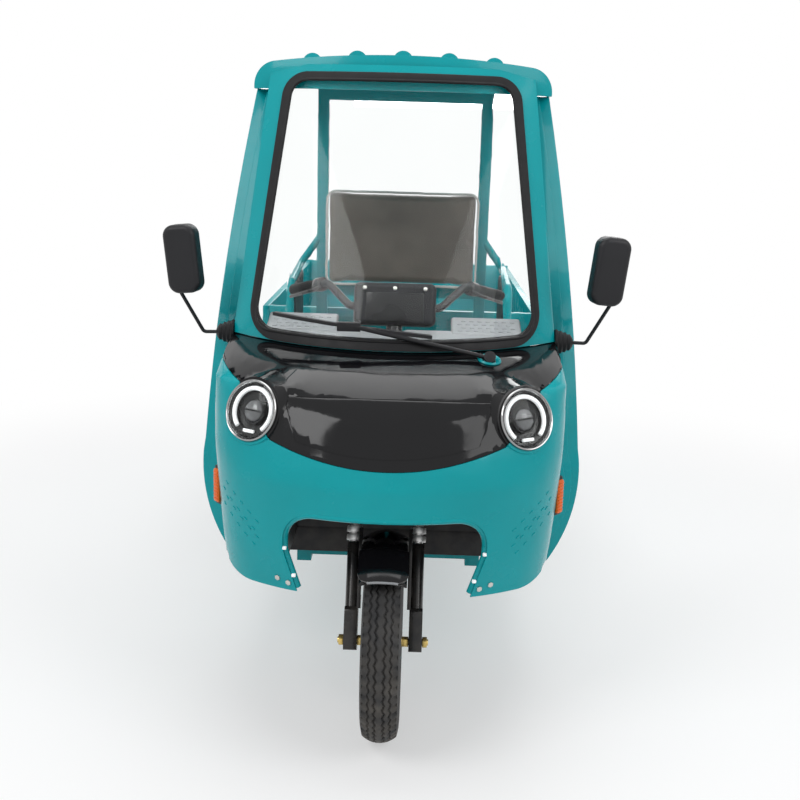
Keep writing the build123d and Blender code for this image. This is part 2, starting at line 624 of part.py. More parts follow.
dash_profile = make_face(Polyline(
    (150, DASH_Z - DASH_T), (150, DASH_Z), (DASH_REAR - 100, DASH_Z + 45), (DASH_REAR - 100, DASH_Z - 8),
    (DASH_REAR, DASH_Z - 8), (DASH_REAR, DASH_Z - 18), (DASH_REAR - 110, DASH_Z - 18),
    (DASH_REAR - 110, DASH_Z + 32), close=True))
cab_inside = inside + inside_screen
dash = from_side(dash_profile, 430) & cab_inside
dash = dash - STEER * Pos(0, 0, CROWN_S) * Cylinder(STEM_R + 28, 900)
place("dash_shelf", dash)
apron_profile = make_face(Polyline(
    (RAIL_FRONT + 45, FLOOR_Z), (RAIL_FRONT + 53, FLOOR_Z), (DASH_REAR, DASH_Z - 18),
    (DASH_REAR - 8, DASH_Z - 18), close=True))
apron = from_side(apron_profile, 440) & inside
apron = apron - arch_left - mirrored(arch_left)
place("inner_apron", apron)
floor = Pos(0, (FLOOR_FRONT + kick - 5) / 2, FLOOR_Z - FLOOR_T / 2) * Box(
    2 * FLOOR_HALF, kick - 5 - FLOOR_FRONT, FLOOR_T)
floor = floor - arch_left - mirrored(arch_left) - chassis
place("cab_floor", floor)

# Seat: box over the battery, cushion, backrest on a portal frame that carries the roof
seat_depth = SEAT_REAR - SEAT_FRONT
seat_mid = (SEAT_REAR + SEAT_FRONT) / 2
box_h = SEAT_BOX_Z - FLOOR_Z
seat_box = Pos(0, seat_mid, FLOOR_Z) * Box(2 * SEAT_HALF, seat_depth, box_h,
                                          align=(Align.CENTER, Align.CENTER, Align.MIN))
seat_box = fillet(seat_box.edges().filter_by(Axis.Z), 30)
seat_box = seat_box - Pos(0, seat_mid, FLOOR_Z - 1) * Box(
    2 * SEAT_HALF - 16, seat_depth - 16, box_h - 7, align=(Align.CENTER, Align.CENTER, Align.MIN))
place("seat_box", seat_box)
place("battery_pack", Pos(0, seat_mid, FLOOR_Z) * Box(*BATTERY, align=(Align.CENTER, Align.CENTER, Align.MIN)))
cushion_depth = PORTAL_Y - PORTAL_TUBE / 2 - BACKREST[1] - SEAT_FRONT - 4
cushion = Pos(0, SEAT_FRONT + cushion_depth / 2, SEAT_BOX_Z + CUSHION_T / 2) * Box(
    2 * SEAT_HALF, cushion_depth, CUSHION_T)
place("seat_cushion", fillet(cushion.edges().filter_by(Axis.Z), 50))
backrest = Pos(0, PORTAL_Y - PORTAL_TUBE / 2 - BACKREST[1] / 2, BACKREST_Z + BACKREST[2] / 2) * Box(*BACKREST)
place("backrest", fillet(backrest.edges().filter_by(Axis.Y), 24))

post_x = PORTAL_HALF - PORTAL_TUBE / 2
portal = Part()
for side in (-1, 1):
    portal += Pos(side * post_x, PORTAL_Y, FLOOR_Z) * Box(
        PORTAL_TUBE, PORTAL_TUBE, PORTAL_TOP - FLOOR_Z, align=(Align.CENTER, Align.CENTER, Align.MIN))
    portal += Pos(side * post_x * 0.6, PORTAL_Y, PORTAL_TOP) * Box(
        44, 30, 42, align=(Align.CENTER, Align.CENTER, Align.MIN))
for z in (PORTAL_TOP - PORTAL_TUBE / 2, BACKREST_Z - PORTAL_TUBE / 2 - 6):
    portal += Pos(0, PORTAL_Y, z) * Box(2 * post_x, PORTAL_TUBE, PORTAL_TUBE)
portal = portal - roof
place("rear_portal", portal)
rail_points = [(post_x, PORTAL_Y, RAIL_Z), (RAIL_X, PORTAL_Y - 40, RAIL_Z - 100),
               (RAIL_X, 960, RAIL_Z - 135), (RAIL_X, 930, FLOOR_Z)]
side_rail = tube(rail_points, RAIL_R, 45) - portal - floor
place("side_rails", side_rail, mirrored(side_rail))


def pad_front(z):
    """Rear face of the side rail's upright, at a height."""
    (_, top_y, top_z), (_, low_y, low_z) = rail_points[2:]
    return low_y + (top_y - low_y) * (z - low_z) / (top_z - low_z) + RAIL_R + GAP


def pad_top(y):
    """Underside of the side rail's long run, at a distance from the front."""
    (_, back_y, back_z), (_, front_y, front_z) = rail_points[1:3]
    return front_z + (back_z - front_z) * (y - front_y) / (back_y - front_y) - RAIL_R - GAP


pad_low = RAIL_Z - 400
pad_back = PORTAL_Y - 60
pad_bend = rail_points[2][1] + 55
pad_bend_z = rail_points[2][2] - 40
pad_face = make_face(Polyline(
    (pad_front(pad_low), pad_low), (pad_front(pad_bend_z), pad_bend_z), (pad_bend, pad_top(pad_bend)),
    (pad_back, pad_top(pad_back)), (pad_back, pad_low), close=True))
pad = Pos(RAIL_X, 0, 0) * extrude(Plane.YZ * pad_face, PAD_T / 2, both=True)
place("rail_pads", pad, mirrored(pad))

# Cargo bed: floor with hinge eyes, ribbed walls, drop tailgate
bed_mid = (BED_FRONT + BED_REAR) / 2
hinge_y = BED_REAR + HINGE_OUT
hinge_z = bed_low + BED_FLOOR_T / 2
bed_floor = Pos(0, bed_mid, bed_low + BED_FLOOR_T / 2) * Box(2 * BED_HALF, BED_LENGTH, BED_FLOOR_T)
deck_edge = BED_WALL_T + DECK_GAP
bed_floor += Pos(0, bed_mid, BED_FLOOR_Z) * Box(
    2 * (BED_HALF - deck_edge), BED_LENGTH - 2 * deck_edge, 2 * DECK_T)
hinge_pin = Pos(0, hinge_y, hinge_z) * Rot(0, 90, 0) * Cylinder(PIN_R, 2 * HINGE_X + 200)
bed_floor += hinge_pin
for x in (-HINGE_X - 85, -HINGE_X + 85, HINGE_X - 85, HINGE_X + 85):
    eye = Pos(x, hinge_y, hinge_z) * Rot(0, 90, 0) * Cylinder(PIN_R + 5, 26)
    bed_floor += eye + Pos(x, hinge_y - HINGE_OUT / 2, hinge_z) * Box(26, HINGE_OUT, 16)
for x in (-1, 1):
    for y in (-1, 1):
        spot = Pos(x * TIE_X / 2, bed_mid + y * TIE_Y / 2, bed_low)
        bed_floor = bed_floor - spot * Cylinder(TIE_R, 4 * BED_FLOOR_T)
place("bed_floor", bed_floor)


def ribbed_wall(length, stakes):
    """A pressed bed wall along x: skin, top and bottom rails, and upright stakes outside."""
    wall = Box(length, 8, BED_WALL_H, align=(Align.CENTER, Align.MIN, Align.MIN))
    rails = Box(length, BED_WALL_T, 34, align=(Align.CENTER, Align.MIN, Align.MIN))
    wall += rails + Pos(0, 0, BED_WALL_H - 34) * rails
    for index in range(stakes):
        x = -length / 2 + 20 + (length - 40) * index / (stakes - 1)
        wall += Pos(x, 0, 0) * Box(40, BED_WALL_T, BED_WALL_H, align=(Align.CENTER, Align.MIN, Align.MIN))
    return wall


wall_z = BED_FLOOR_Z
side_wall = Pos(BED_HALF - BED_WALL_T, bed_mid, wall_z) * Rot(0, 0, -90) * ribbed_wall(BED_LENGTH, 5)
place("bed_side_left", side_wall)
place("bed_side_right", mirrored(side_wall))
head_len = 2 * (BED_HALF - BED_WALL_T)
place("bed_headboard", Pos(0, BED_FRONT + BED_WALL_T, wall_z) * Rot(0, 0, 180) * ribbed_wall(head_len, 4))
gate = Pos(0, hinge_y - GATE_SET, wall_z + 6) * ribbed_wall(2 * BED_HALF, 5)
for x in (-HINGE_X, HINGE_X):
    gate += Pos(x, hinge_y, hinge_z) * Rot(0, 90, 0) * Cylinder(PIN_R + 5, 110)
    gate += Pos(x, hinge_y, hinge_z) * Box(110, 10, 40, align=(Align.CENTER, Align.CENTER, Align.MIN))
gate = gate - Pos(0, hinge_y, hinge_z) * Rot(0, 90, 0) * Cylinder(PIN_R + RUN, 2000)
place("tailgate", gate)

# Rear axle with its motor, leaf springs, mudguards, lamps and bumper
hub_gap = TRACK_REAR / 2 - HUB_HALF - GAP
beam = Rot(0, 90, 0) * Cylinder(BEAM_R, 2 * hub_gap - 40)
beam += Rot(0, 90, 0) * Cylinder(STUB_R, TRACK_REAR + 2 * HUB_HALF + 20)
for side in (-1, 1):
    beam += Pos(side * (hub_gap - 10), 0, 0) * Rot(0, 90, 0) * Cylinder(BEAM_R + 16, 20)
    beam += Pos(side * (TRACK_REAR / 2 + HUB_HALF + GAP), 0, 0) * Rot(0, 90 * side, 0) * extrude(
        RegularPolygon(24, 6), 10)
gear_case = fillet((Rot(0, 90, 0) * Cylinder(CASE_R, 120)).edges(), 30)
motor = Pos(130, 0, 0) * Rot(0, 90, 0) * Cylinder(MOTOR_R, 138)
motor = fillet(motor.edges().group_by(Axis.X)[-1], 12)
place("rear_axle", Pos(0, WHEELBASE, TYRE_R) * (beam + gear_case + motor))

axle_top = TYRE_R + BEAM_R
springs = []
for side in (-1, 1):
    pack = Part()
    for leaf in range(3):
        half = SPRING_HALF - 90 * leaf
        sag = SPRING_RISE * (half / SPRING_HALF) ** 2
        low = axle_top + 18 - 9 * leaf
        upper = ThreePointArc((-half, low + sag + 9), (0, low + 9), (half, low + sag + 9))
        lower = ThreePointArc((-half, low + sag), (0, low), (half, low + sag))
        ends = [Line((end * half, low + sag), (end * half, low + sag + 9)) for end in (-1, 1)]
        pack += extrude(Plane.YZ * make_face([upper, lower, *ends]), 25, both=True)
    eye_z = axle_top + 18 + SPRING_RISE
    shackle_h = bed_low - CHASSIS_TUBE - eye_z
    for end in (-1, 1):
        pack += Pos(0, end * (SPRING_HALF - 8), eye_z) * Box(
            36, 24, shackle_h, align=(Align.CENTER, Align.CENTER, Align.MIN))
    springs.append(Pos(side * CHASSIS_X, WHEELBASE, 0) * pack)
place("leaf_springs", *springs)

rear_guards = []
for side in (-1, 1):
    sheet = Plane.XZ * make_face(Polyline(
        (-REAR_GUARD_HALF, REAR_GUARD_R - 20), (-REAR_GUARD_HALF, REAR_GUARD_R), (REAR_GUARD_HALF, REAR_GUARD_R),
        (REAR_GUARD_HALF, REAR_GUARD_R - 20), (REAR_GUARD_HALF - 4, REAR_GUARD_R - 20),
        (REAR_GUARD_HALF - 4, REAR_GUARD_R - 4), (-REAR_GUARD_HALF + 4, REAR_GUARD_R - 4),
        (-REAR_GUARD_HALF + 4, REAR_GUARD_R - 20), close=True))
    guard = revolve(Rot(-70, 0, 0) * sheet, Axis.X, 140)
    guard += Pos(0, 0, REAR_GUARD_R - 2) * Box(60, 40, bed_low - TYRE_R - REAR_GUARD_R + 2,
                                              align=(Align.CENTER, Align.CENTER, Align.MIN))
    rear_guards.append(Pos(side * TRACK_REAR / 2, WHEELBASE, TYRE_R) * guard)
place("rear_mudguards", *rear_guards)

lamp_z = bed_low - CHASSIS_TUBE
tail = fillet(Box(150, 36, 62).edges().filter_by(Axis.Y), 10)
tails = [Pos(side * (BED_HALF - 110), BED_REAR + 8, lamp_z) * tail for side in (-1, 1)]
place("tail_lamps", *tails)
bumper_y = BACK_END - BUMPER_R
bumper = Pos(0, bumper_y, BUMPER_Z) * Rot(0, 90, 0) * Cylinder(BUMPER_R, 2 * BED_HALF - 120)
for side in (-1, 1):
    bumper += Pos(side * CHASSIS_X, 0, 0) * extrude(Plane.YZ * make_face(Polyline(
        (BED_REAR - 10, bed_low - CHASSIS_TUBE), (BED_REAR - 70, bed_low - CHASSIS_TUBE),
        (bumper_y - 10, BUMPER_Z - 14), (bumper_y + 10, BUMPER_Z), close=True)), 6, both=True)
place("rear_bumper", bumper)
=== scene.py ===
# %% [markdown]
# # A cargo tricycle with a bowed front cab
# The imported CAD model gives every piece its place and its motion. This lesson adds what a
# CAD kernel does not: paint, rubber, lamp glass, tread, small trim and padded seats.
# Lengths are metres, the front of the vehicle faces -Y and the ground is at z = 0.

# %% Load the frame
import json
from math import atan2, cos, degrees, hypot, pi, radians, sin

import bmesh
import bpy
from mathutils import Matrix, Vector

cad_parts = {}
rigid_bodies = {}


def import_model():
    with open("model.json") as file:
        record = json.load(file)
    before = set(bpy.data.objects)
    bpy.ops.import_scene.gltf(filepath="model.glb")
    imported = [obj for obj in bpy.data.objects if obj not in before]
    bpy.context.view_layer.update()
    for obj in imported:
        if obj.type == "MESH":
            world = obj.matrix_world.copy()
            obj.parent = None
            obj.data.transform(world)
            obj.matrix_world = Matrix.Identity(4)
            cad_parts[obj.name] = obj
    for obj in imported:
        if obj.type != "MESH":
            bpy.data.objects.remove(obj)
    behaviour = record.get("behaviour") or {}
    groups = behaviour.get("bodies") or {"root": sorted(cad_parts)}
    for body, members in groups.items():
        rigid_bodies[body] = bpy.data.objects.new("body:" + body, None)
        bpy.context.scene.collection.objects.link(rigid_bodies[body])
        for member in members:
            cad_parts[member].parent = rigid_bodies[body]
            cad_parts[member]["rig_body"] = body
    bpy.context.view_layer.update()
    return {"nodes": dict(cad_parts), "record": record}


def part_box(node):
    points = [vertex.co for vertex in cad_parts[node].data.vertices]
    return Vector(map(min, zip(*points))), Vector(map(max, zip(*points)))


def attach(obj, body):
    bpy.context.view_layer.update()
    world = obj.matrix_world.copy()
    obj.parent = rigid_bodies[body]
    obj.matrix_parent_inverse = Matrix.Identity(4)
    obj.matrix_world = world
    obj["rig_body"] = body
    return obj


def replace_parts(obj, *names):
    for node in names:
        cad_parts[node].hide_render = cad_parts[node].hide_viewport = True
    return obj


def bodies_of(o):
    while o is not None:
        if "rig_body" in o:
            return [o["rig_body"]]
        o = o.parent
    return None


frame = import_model()
nodes = frame["nodes"]
scene = bpy.context.scene
scene.view_settings.view_transform = "Standard"

# %% [markdown]
# ## Where things are
# Every new piece is placed from the frame. The front axle is the handiest reference point,
# because the CAD sizes were measured from it, so one small function turns "metres behind the
# front axle" into the frame's own y.

# %% Reference points
axle_low, axle_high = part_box("front_axle")
AXLE = (axle_low + axle_high) / 2
TYRE_R = AXLE.z
SIDES = ((1, "left"), (-1, "right"))


def at(x, behind, z):
    """A point given as metres left of centre, behind the front axle and above the ground."""
    return Vector((x, AXLE.y + behind, z))


print("front axle", [round(v, 4) for v in AXLE])

# %% [markdown]
# ## The camera
# The photograph was taken standing in front of the vehicle, at about eye height, with the
# phone tipped down and turned a little. A camera aimed by angles, not by a tracking target,
# keeps that small roll.

# %% Camera
CAMERA_AHEAD = 2.60
CAMERA_HEIGHT = 1.50
CAMERA_TILT = 13.3
CAMERA_ROLL = 1.65
CAMERA_YAW = 0.78
CAMERA_SIDE = 0.062
FOCAL_PX = 1100
FRAME_PX = 800
SENSOR = 36.0

camera_data = bpy.data.cameras.new("photo_camera")
camera_data.sensor_width = SENSOR
camera_data.lens = FOCAL_PX / FRAME_PX * SENSOR
camera_data.clip_end = 60
camera = bpy.data.objects.new("photo_camera", camera_data)
scene.collection.objects.link(camera)
camera.location = at(CAMERA_SIDE, -CAMERA_AHEAD, CAMERA_HEIGHT)
turn = Matrix.Rotation(radians(CAMERA_YAW), 4, "Z")
tip = Matrix.Rotation(radians(90 - CAMERA_TILT), 4, "X")
roll = Matrix.Rotation(radians(CAMERA_ROLL), 4, "Z")
camera.rotation_euler = (turn @ tip @ roll).to_euler()
scene.camera = camera
print("camera lens", round(camera_data.lens, 2), "mm")

# %% [markdown]
# ## Light and background
# The photograph is a cut-out on white. Soft area lamps give the long highlights on the paint,
# and the world shows white to the camera, in reflections and through glass, while it lights
# the object at a plain level. One brightness can't do both, so two are mixed by the kind of ray.

# %% Lamps and world
LAMPS = (
    # name, place, aim, size, power
    ("key_softbox", (-2.6, -3.4, 3.6), (0, -0.6, 0.9), 2.2, 84),
    ("fill_softbox", (2.8, -3.0, 3.0), (0, -0.6, 0.9), 2.4, 56),
    ("top_softbox", (0, 0.2, 4.4), (0, 0, 0.6), 3.0, 84),
    ("rear_softbox", (0.6, 4.4, 2.8), (0, 0.8, 0.8), 2.4, 60),
)


def add_lamp(name, place, target, size, power):
    data = bpy.data.lights.new(name, "AREA")
    data.shape = "SQUARE"
    data.size = size
    data.energy = power
    lamp = bpy.data.objects.new(name, data)
    scene.collection.objects.link(lamp)
    lamp.location = place
    lamp.rotation_euler = (Vector(target) - Vector(place)).to_track_quat("-Z", "Y").to_euler()


def math_node(tree, operation, first, second):
    """One Math node; each input is a socket or a plain number."""
    node = tree.nodes.new("ShaderNodeMath")
    node.operation = operation
    for socket, value in zip(node.inputs, (first, second)):
        if isinstance(value, (int, float)):
            socket.default_value = value
        else:
            tree.links.new(value, socket)
    return node.outputs[0]


def seen_rays(tree):
    """1 for rays that show the background: to the camera, in a reflection or through glass."""
    path = tree.nodes.new("ShaderNodeLightPath").outputs
    shown = math_node(tree, "MAXIMUM", path["Is Glossy Ray"], path["Is Transmission Ray"])
    not_bounced = math_node(tree, "LESS_THAN", path["Diffuse Depth"], 0.5)
    shown = math_node(tree, "MULTIPLY", shown, not_bounced)
    return math_node(tree, "MAXIMUM", shown, path["Is Camera Ray"])


def white_for_view(tree, light_color, light_strength):
    """Background nodes: white to rays that show it, a plain level for lighting."""
    lit = tree.nodes.new("ShaderNodeBackground")
    lit.inputs["Color"].default_value = (*light_color, 1)
    lit.inputs["Strength"].default_value = light_strength
    white = tree.nodes.new("ShaderNodeBackground")
    white.inputs["Color"].default_value = (1, 1, 1, 1)
    mix = tree.nodes.new("ShaderNodeMixShader")
    tree.links.new(seen_rays(tree), mix.inputs[0])
    tree.links.new(lit.outputs[0], mix.inputs[1])
    tree.links.new(white.outputs[0], mix.inputs[2])
    return mix


WORLD_COLOR, WORLD_STRENGTH = (0.94, 0.97, 1.0), 0.30
for lamp_row in LAMPS:
    add_lamp(*lamp_row)
world = bpy.data.worlds.new("studio")
world.use_nodes = True
scene.world = world
world.node_tree.nodes.clear()
world_out = world.node_tree.nodes.new("ShaderNodeOutputWorld")
backdrop = white_for_view(world.node_tree, WORLD_COLOR, WORLD_STRENGTH)
world.node_tree.links.new(backdrop.outputs[0], world_out.inputs[0])
print("lamps", len(LAMPS), "world strength", WORLD_STRENGTH)

# %% [markdown]
# ## The floor
# The floor keeps the vehicle's shadow and fades to the white of the background further out, so
# that no horizon shows. Only rays that show the floor see the fade, so the light that it throws
# back onto the vehicle stays the same.

# %% Floor
FLOOR_SIZE = 40
FLOOR_COLOR, FLOOR_ROUGH = (0.93, 0.93, 0.93, 1), 0.6
FADE_NEAR, FADE_FAR, FADE_LEAST = 1.3, 3.0, 0.45

bpy.ops.object.select_all(action="DESELECT")
bpy.ops.mesh.primitive_plane_add(size=FLOOR_SIZE, location=(0, 0, 0))
floor = bpy.context.object
floor.name = "studio_floor"
floor_finish = bpy.data.materials.new("pale_floor")
floor_finish.use_nodes = True
floor.data.materials.append(floor_finish)

floor_tree = floor_finish.node_tree
floor_shader = floor_tree.nodes["Principled BSDF"]
floor_shader.inputs["Base Color"].default_value = FLOOR_COLOR
floor_shader.inputs["Roughness"].default_value = FLOOR_ROUGH
reach = floor_tree.nodes.new("ShaderNodeVectorMath")
reach.operation = "LENGTH"
floor_tree.links.new(floor_tree.nodes.new("ShaderNodeTexCoord").outputs["Object"], reach.inputs[0])
fade = floor_tree.nodes.new("ShaderNodeMapRange")
fade.interpolation_type = "SMOOTHSTEP"
fade.inputs["From Min"].default_value = FADE_NEAR
fade.inputs["From Max"].default_value = FADE_FAR
fade.inputs["To Min"].default_value = FADE_LEAST
floor_tree.links.new(reach.outputs["Value"], fade.inputs["Value"])
amount = math_node(floor_tree, "MULTIPLY", fade.outputs["Result"], seen_rays(floor_tree))
paper = floor_tree.nodes.new("ShaderNodeEmission")
paper.inputs["Color"].default_value = (1, 1, 1, 1)
blend = floor_tree.nodes.new("ShaderNodeMixShader")
floor_tree.links.new(amount, blend.inputs[0])
floor_tree.links.new(floor_shader.outputs[0], blend.inputs[1])
floor_tree.links.new(paper.outputs[0], blend.inputs[2])
floor_tree.links.new(blend.outputs[0], floor_tree.nodes["Material Output"].inputs["Surface"])
print("floor fades from", FADE_NEAR, "to", FADE_FAR, "m")

# %% [markdown]
# ## Shared effects as node groups
# Three small effects turn up in almost every finish: a slow drift of colour, a fine grain
# that changes roughness and relief, and road dust that thins out with height. Each one is a
# node group, built once and placed in a material with that material's own values.

# %% Node helpers


def new_group(name, inputs, outputs):
    """An empty shader group with named sockets, given as (name, kind, default)."""
    group = bpy.data.node_groups.new(name, "ShaderNodeTree")
    for label, kind, default in inputs:
        socket = group.interface.new_socket(label, in_out="INPUT", socket_type="NodeSocket" + kind)
        if default is not None:
            socket.default_value = default
    for label, kind in outputs:
        group.interface.new_socket(label, in_out="OUTPUT", socket_type="NodeSocket" + kind)
    start = group.nodes.new("NodeGroupInput")
    end = group.nodes.new("NodeGroupOutput")
    return group, start.outputs, end.inputs


def noise(tree, vector, scale, detail=3.0):
    node = tree.nodes.new("ShaderNodeTexNoise")
    node.inputs["Detail"].default_value = detail
    tree.links.new(vector, node.inputs["Vector"])
    if isinstance(scale, (int, float)):
        node.inputs["Scale"].default_value = scale
    else:
        tree.links.new(scale, node.inputs["Scale"])
    return node.outputs["Fac"]


def spread(tree, value, low, high, to_low=0.0, to_high=1.0):
    """Map Range from (low, high) to (to_low, to_high); the targets may be sockets."""
    node = tree.nodes.new("ShaderNodeMapRange")
    tree.links.new(value, node.inputs["Value"])
    settings = {"From Min": low, "From Max": high, "To Min": to_low, "To Max": to_high}
    for label, setting in settings.items():
        if isinstance(setting, (int, float)):
            node.inputs[label].default_value = setting
        else:
            tree.links.new(setting, node.inputs[label])
    return node.outputs["Result"]


def mix_color(tree, factor, first, second):
    node = tree.nodes.new("ShaderNodeMix")
    node.data_type = "RGBA"
    tree.links.new(factor, node.inputs["Factor"])
    for socket, value in ((node.inputs[6], first), (node.inputs[7], second)):
        if isinstance(value, tuple):
            socket.default_value = (*value, 1)
        else:
            tree.links.new(value, socket)
    return node.outputs[2]


print("node helpers ready")

# %% [markdown]
# ### Drift, grain and dust
# Each group takes named inputs, such as a scale or an amount, so that one group serves paint,
# rubber and metal alike. What it puts out changes over the surface.

# %% Node groups


def build_mottle():
    """Slow drift of colour, as paint and plastic have over a large panel."""
    inputs = [("Vector", "Vector", None), ("Color", "Color", None), ("Scale", "Float", 6.0),
              ("Amount", "Float", 0.1)]
    group, given, out = new_group("colour_drift", inputs, [("Color", "Color")])
    cloud = noise(group, given["Vector"], given["Scale"], 4.0)
    drift = spread(group, cloud, 0.3, 0.7, -1.0, 1.0)
    value = math_node(group, "MULTIPLY_ADD", drift, given["Amount"])
    value.node.inputs[2].default_value = 1.0
    shade = group.nodes.new("ShaderNodeHueSaturation")
    group.links.new(value, shade.inputs["Value"])
    group.links.new(given["Color"], shade.inputs["Color"])
    group.links.new(shade.outputs["Color"], out["Color"])
    return group


def build_grain():
    """Fine grain: a roughness that wanders between two values, and a height for bump."""
    inputs = [("Vector", "Vector", None), ("Scale", "Float", 400.0), ("Smooth", "Float", 0.3),
              ("Rough", "Float", 0.5)]
    group, given, out = new_group("fine_grain", inputs, [("Roughness", "Float"), ("Height", "Float")])
    fine = noise(group, given["Vector"], given["Scale"], 2.0)
    slow_scale = math_node(group, "MULTIPLY", given["Scale"], 0.02)
    slow = noise(group, given["Vector"], slow_scale, 3.0)
    rough = spread(group, slow, 0.3, 0.7, given["Smooth"], given["Rough"])
    group.links.new(rough, out["Roughness"])
    group.links.new(fine, out["Height"])
    return group


def build_dust():
    """Road dust: thick near the ground, broken up by noise, gone above the given height."""
    inputs = [("Vector", "Vector", None), ("Color", "Color", None),
              ("Dust", "Color", (0.32, 0.28, 0.23, 1)), ("Height", "Float", 0.7), ("Amount", "Float", 0.3)]
    group, given, out = new_group("road_dust", inputs, [("Color", "Color"), ("Mask", "Float")])
    parts = group.nodes.new("ShaderNodeSeparateXYZ")
    group.links.new(given["Vector"], parts.inputs[0])
    low = spread(group, parts.outputs["Z"], 0.0, given["Height"], 1.0, 0.0)
    cloud = spread(group, noise(group, given["Vector"], 22.0, 6.0), 0.38, 0.72)
    patchy = math_node(group, "MULTIPLY", low, cloud)
    mask = math_node(group, "MULTIPLY", patchy, given["Amount"])
    group.links.new(mix_color(group, mask, given["Color"], given["Dust"]), out["Color"])
    group.links.new(mask, out["Mask"])
    return group


MOTTLE = build_mottle()
GRAIN = build_grain()
DUST = build_dust()
print("groups", MOTTLE.name, GRAIN.name, DUST.name)

# %% [markdown]
# ## Finishes
# One function builds the common finish: a colour that drifts, grain in the roughness, a touch
# of relief and dust low down. What differs from one material to the next, such as metal, coat
# or sheen, is the same all over a surface, so it is set straight on the shader.

# %% Finish builder


def use_group(tree, group, **values):
    node = tree.nodes.new("ShaderNodeGroup")
    node.node_tree = group
    for label, value in values.items():
        socket = node.inputs[label]
        if isinstance(value, bpy.types.NodeSocket):
            tree.links.new(value, socket)
        elif isinstance(value, tuple):
            socket.default_value = (*value, 1)
        else:
            socket.default_value = value
    return node.outputs


def add_bump(tree, shader, height, distance, strength=1.0):
    bump = tree.nodes.new("ShaderNodeBump")
    bump.inputs["Distance"].default_value = distance
    bump.inputs["Strength"].default_value = strength
    tree.links.new(height, bump.inputs["Height"])
    tree.links.new(bump.outputs["Normal"], shader.inputs["Normal"])
    return bump


def finish(name, color, rough, grain=400.0, relief=0.0, drift=0.06, dust=0.0, dust_height=0.7,
           **shader_values):
    """A material with drifting colour, wandering roughness, fine relief and low dust."""
    material = bpy.data.materials.new(name)
    material.use_nodes = True
    tree = material.node_tree
    shader = tree.nodes["Principled BSDF"]
    place = tree.nodes.new("ShaderNodeTexCoord").outputs["Object"]
    tint = use_group(tree, MOTTLE, Vector=place, Color=color, Amount=drift)["Color"]
    if dust:
        tint = use_group(tree, DUST, Vector=place, Color=tint, Height=dust_height, Amount=dust)["Color"]
    tree.links.new(tint, shader.inputs["Base Color"])
    touch = use_group(tree, GRAIN, Vector=place, Scale=grain, Smooth=rough[0], Rough=rough[1])
    tree.links.new(touch["Roughness"], shader.inputs["Roughness"])
    if relief:
        add_bump(tree, shader, touch["Height"], relief)
    for label, value in shader_values.items():
        shader.inputs[label.replace("_", " ")].default_value = value
    return material


def clear_to_shadow(material):
    """Lets light pass straight through glass for shadow rays, so what is behind stays lit."""
    tree = material.node_tree
    shader = tree.nodes["Principled BSDF"]
    out = tree.nodes["Material Output"]
    path = tree.nodes.new("ShaderNodeLightPath")
    clear = tree.nodes.new("ShaderNodeBsdfTransparent")
    mix = tree.nodes.new("ShaderNodeMixShader")
    tree.links.new(path.outputs["Is Shadow Ray"], mix.inputs[0])
    tree.links.new(shader.outputs[0], mix.inputs[1])
    tree.links.new(clear.outputs[0], mix.inputs[2])
    tree.links.new(mix.outputs[0], out.inputs["Surface"])
    return material


print("finish builder ready")

# %% [markdown]
# ### The finishes of this vehicle
# Painted shell, black trim, bare metal, rubber, lamp glass and seat cover each get a row: a
# colour, the two ends of the roughness, and whatever sets that finish apart.

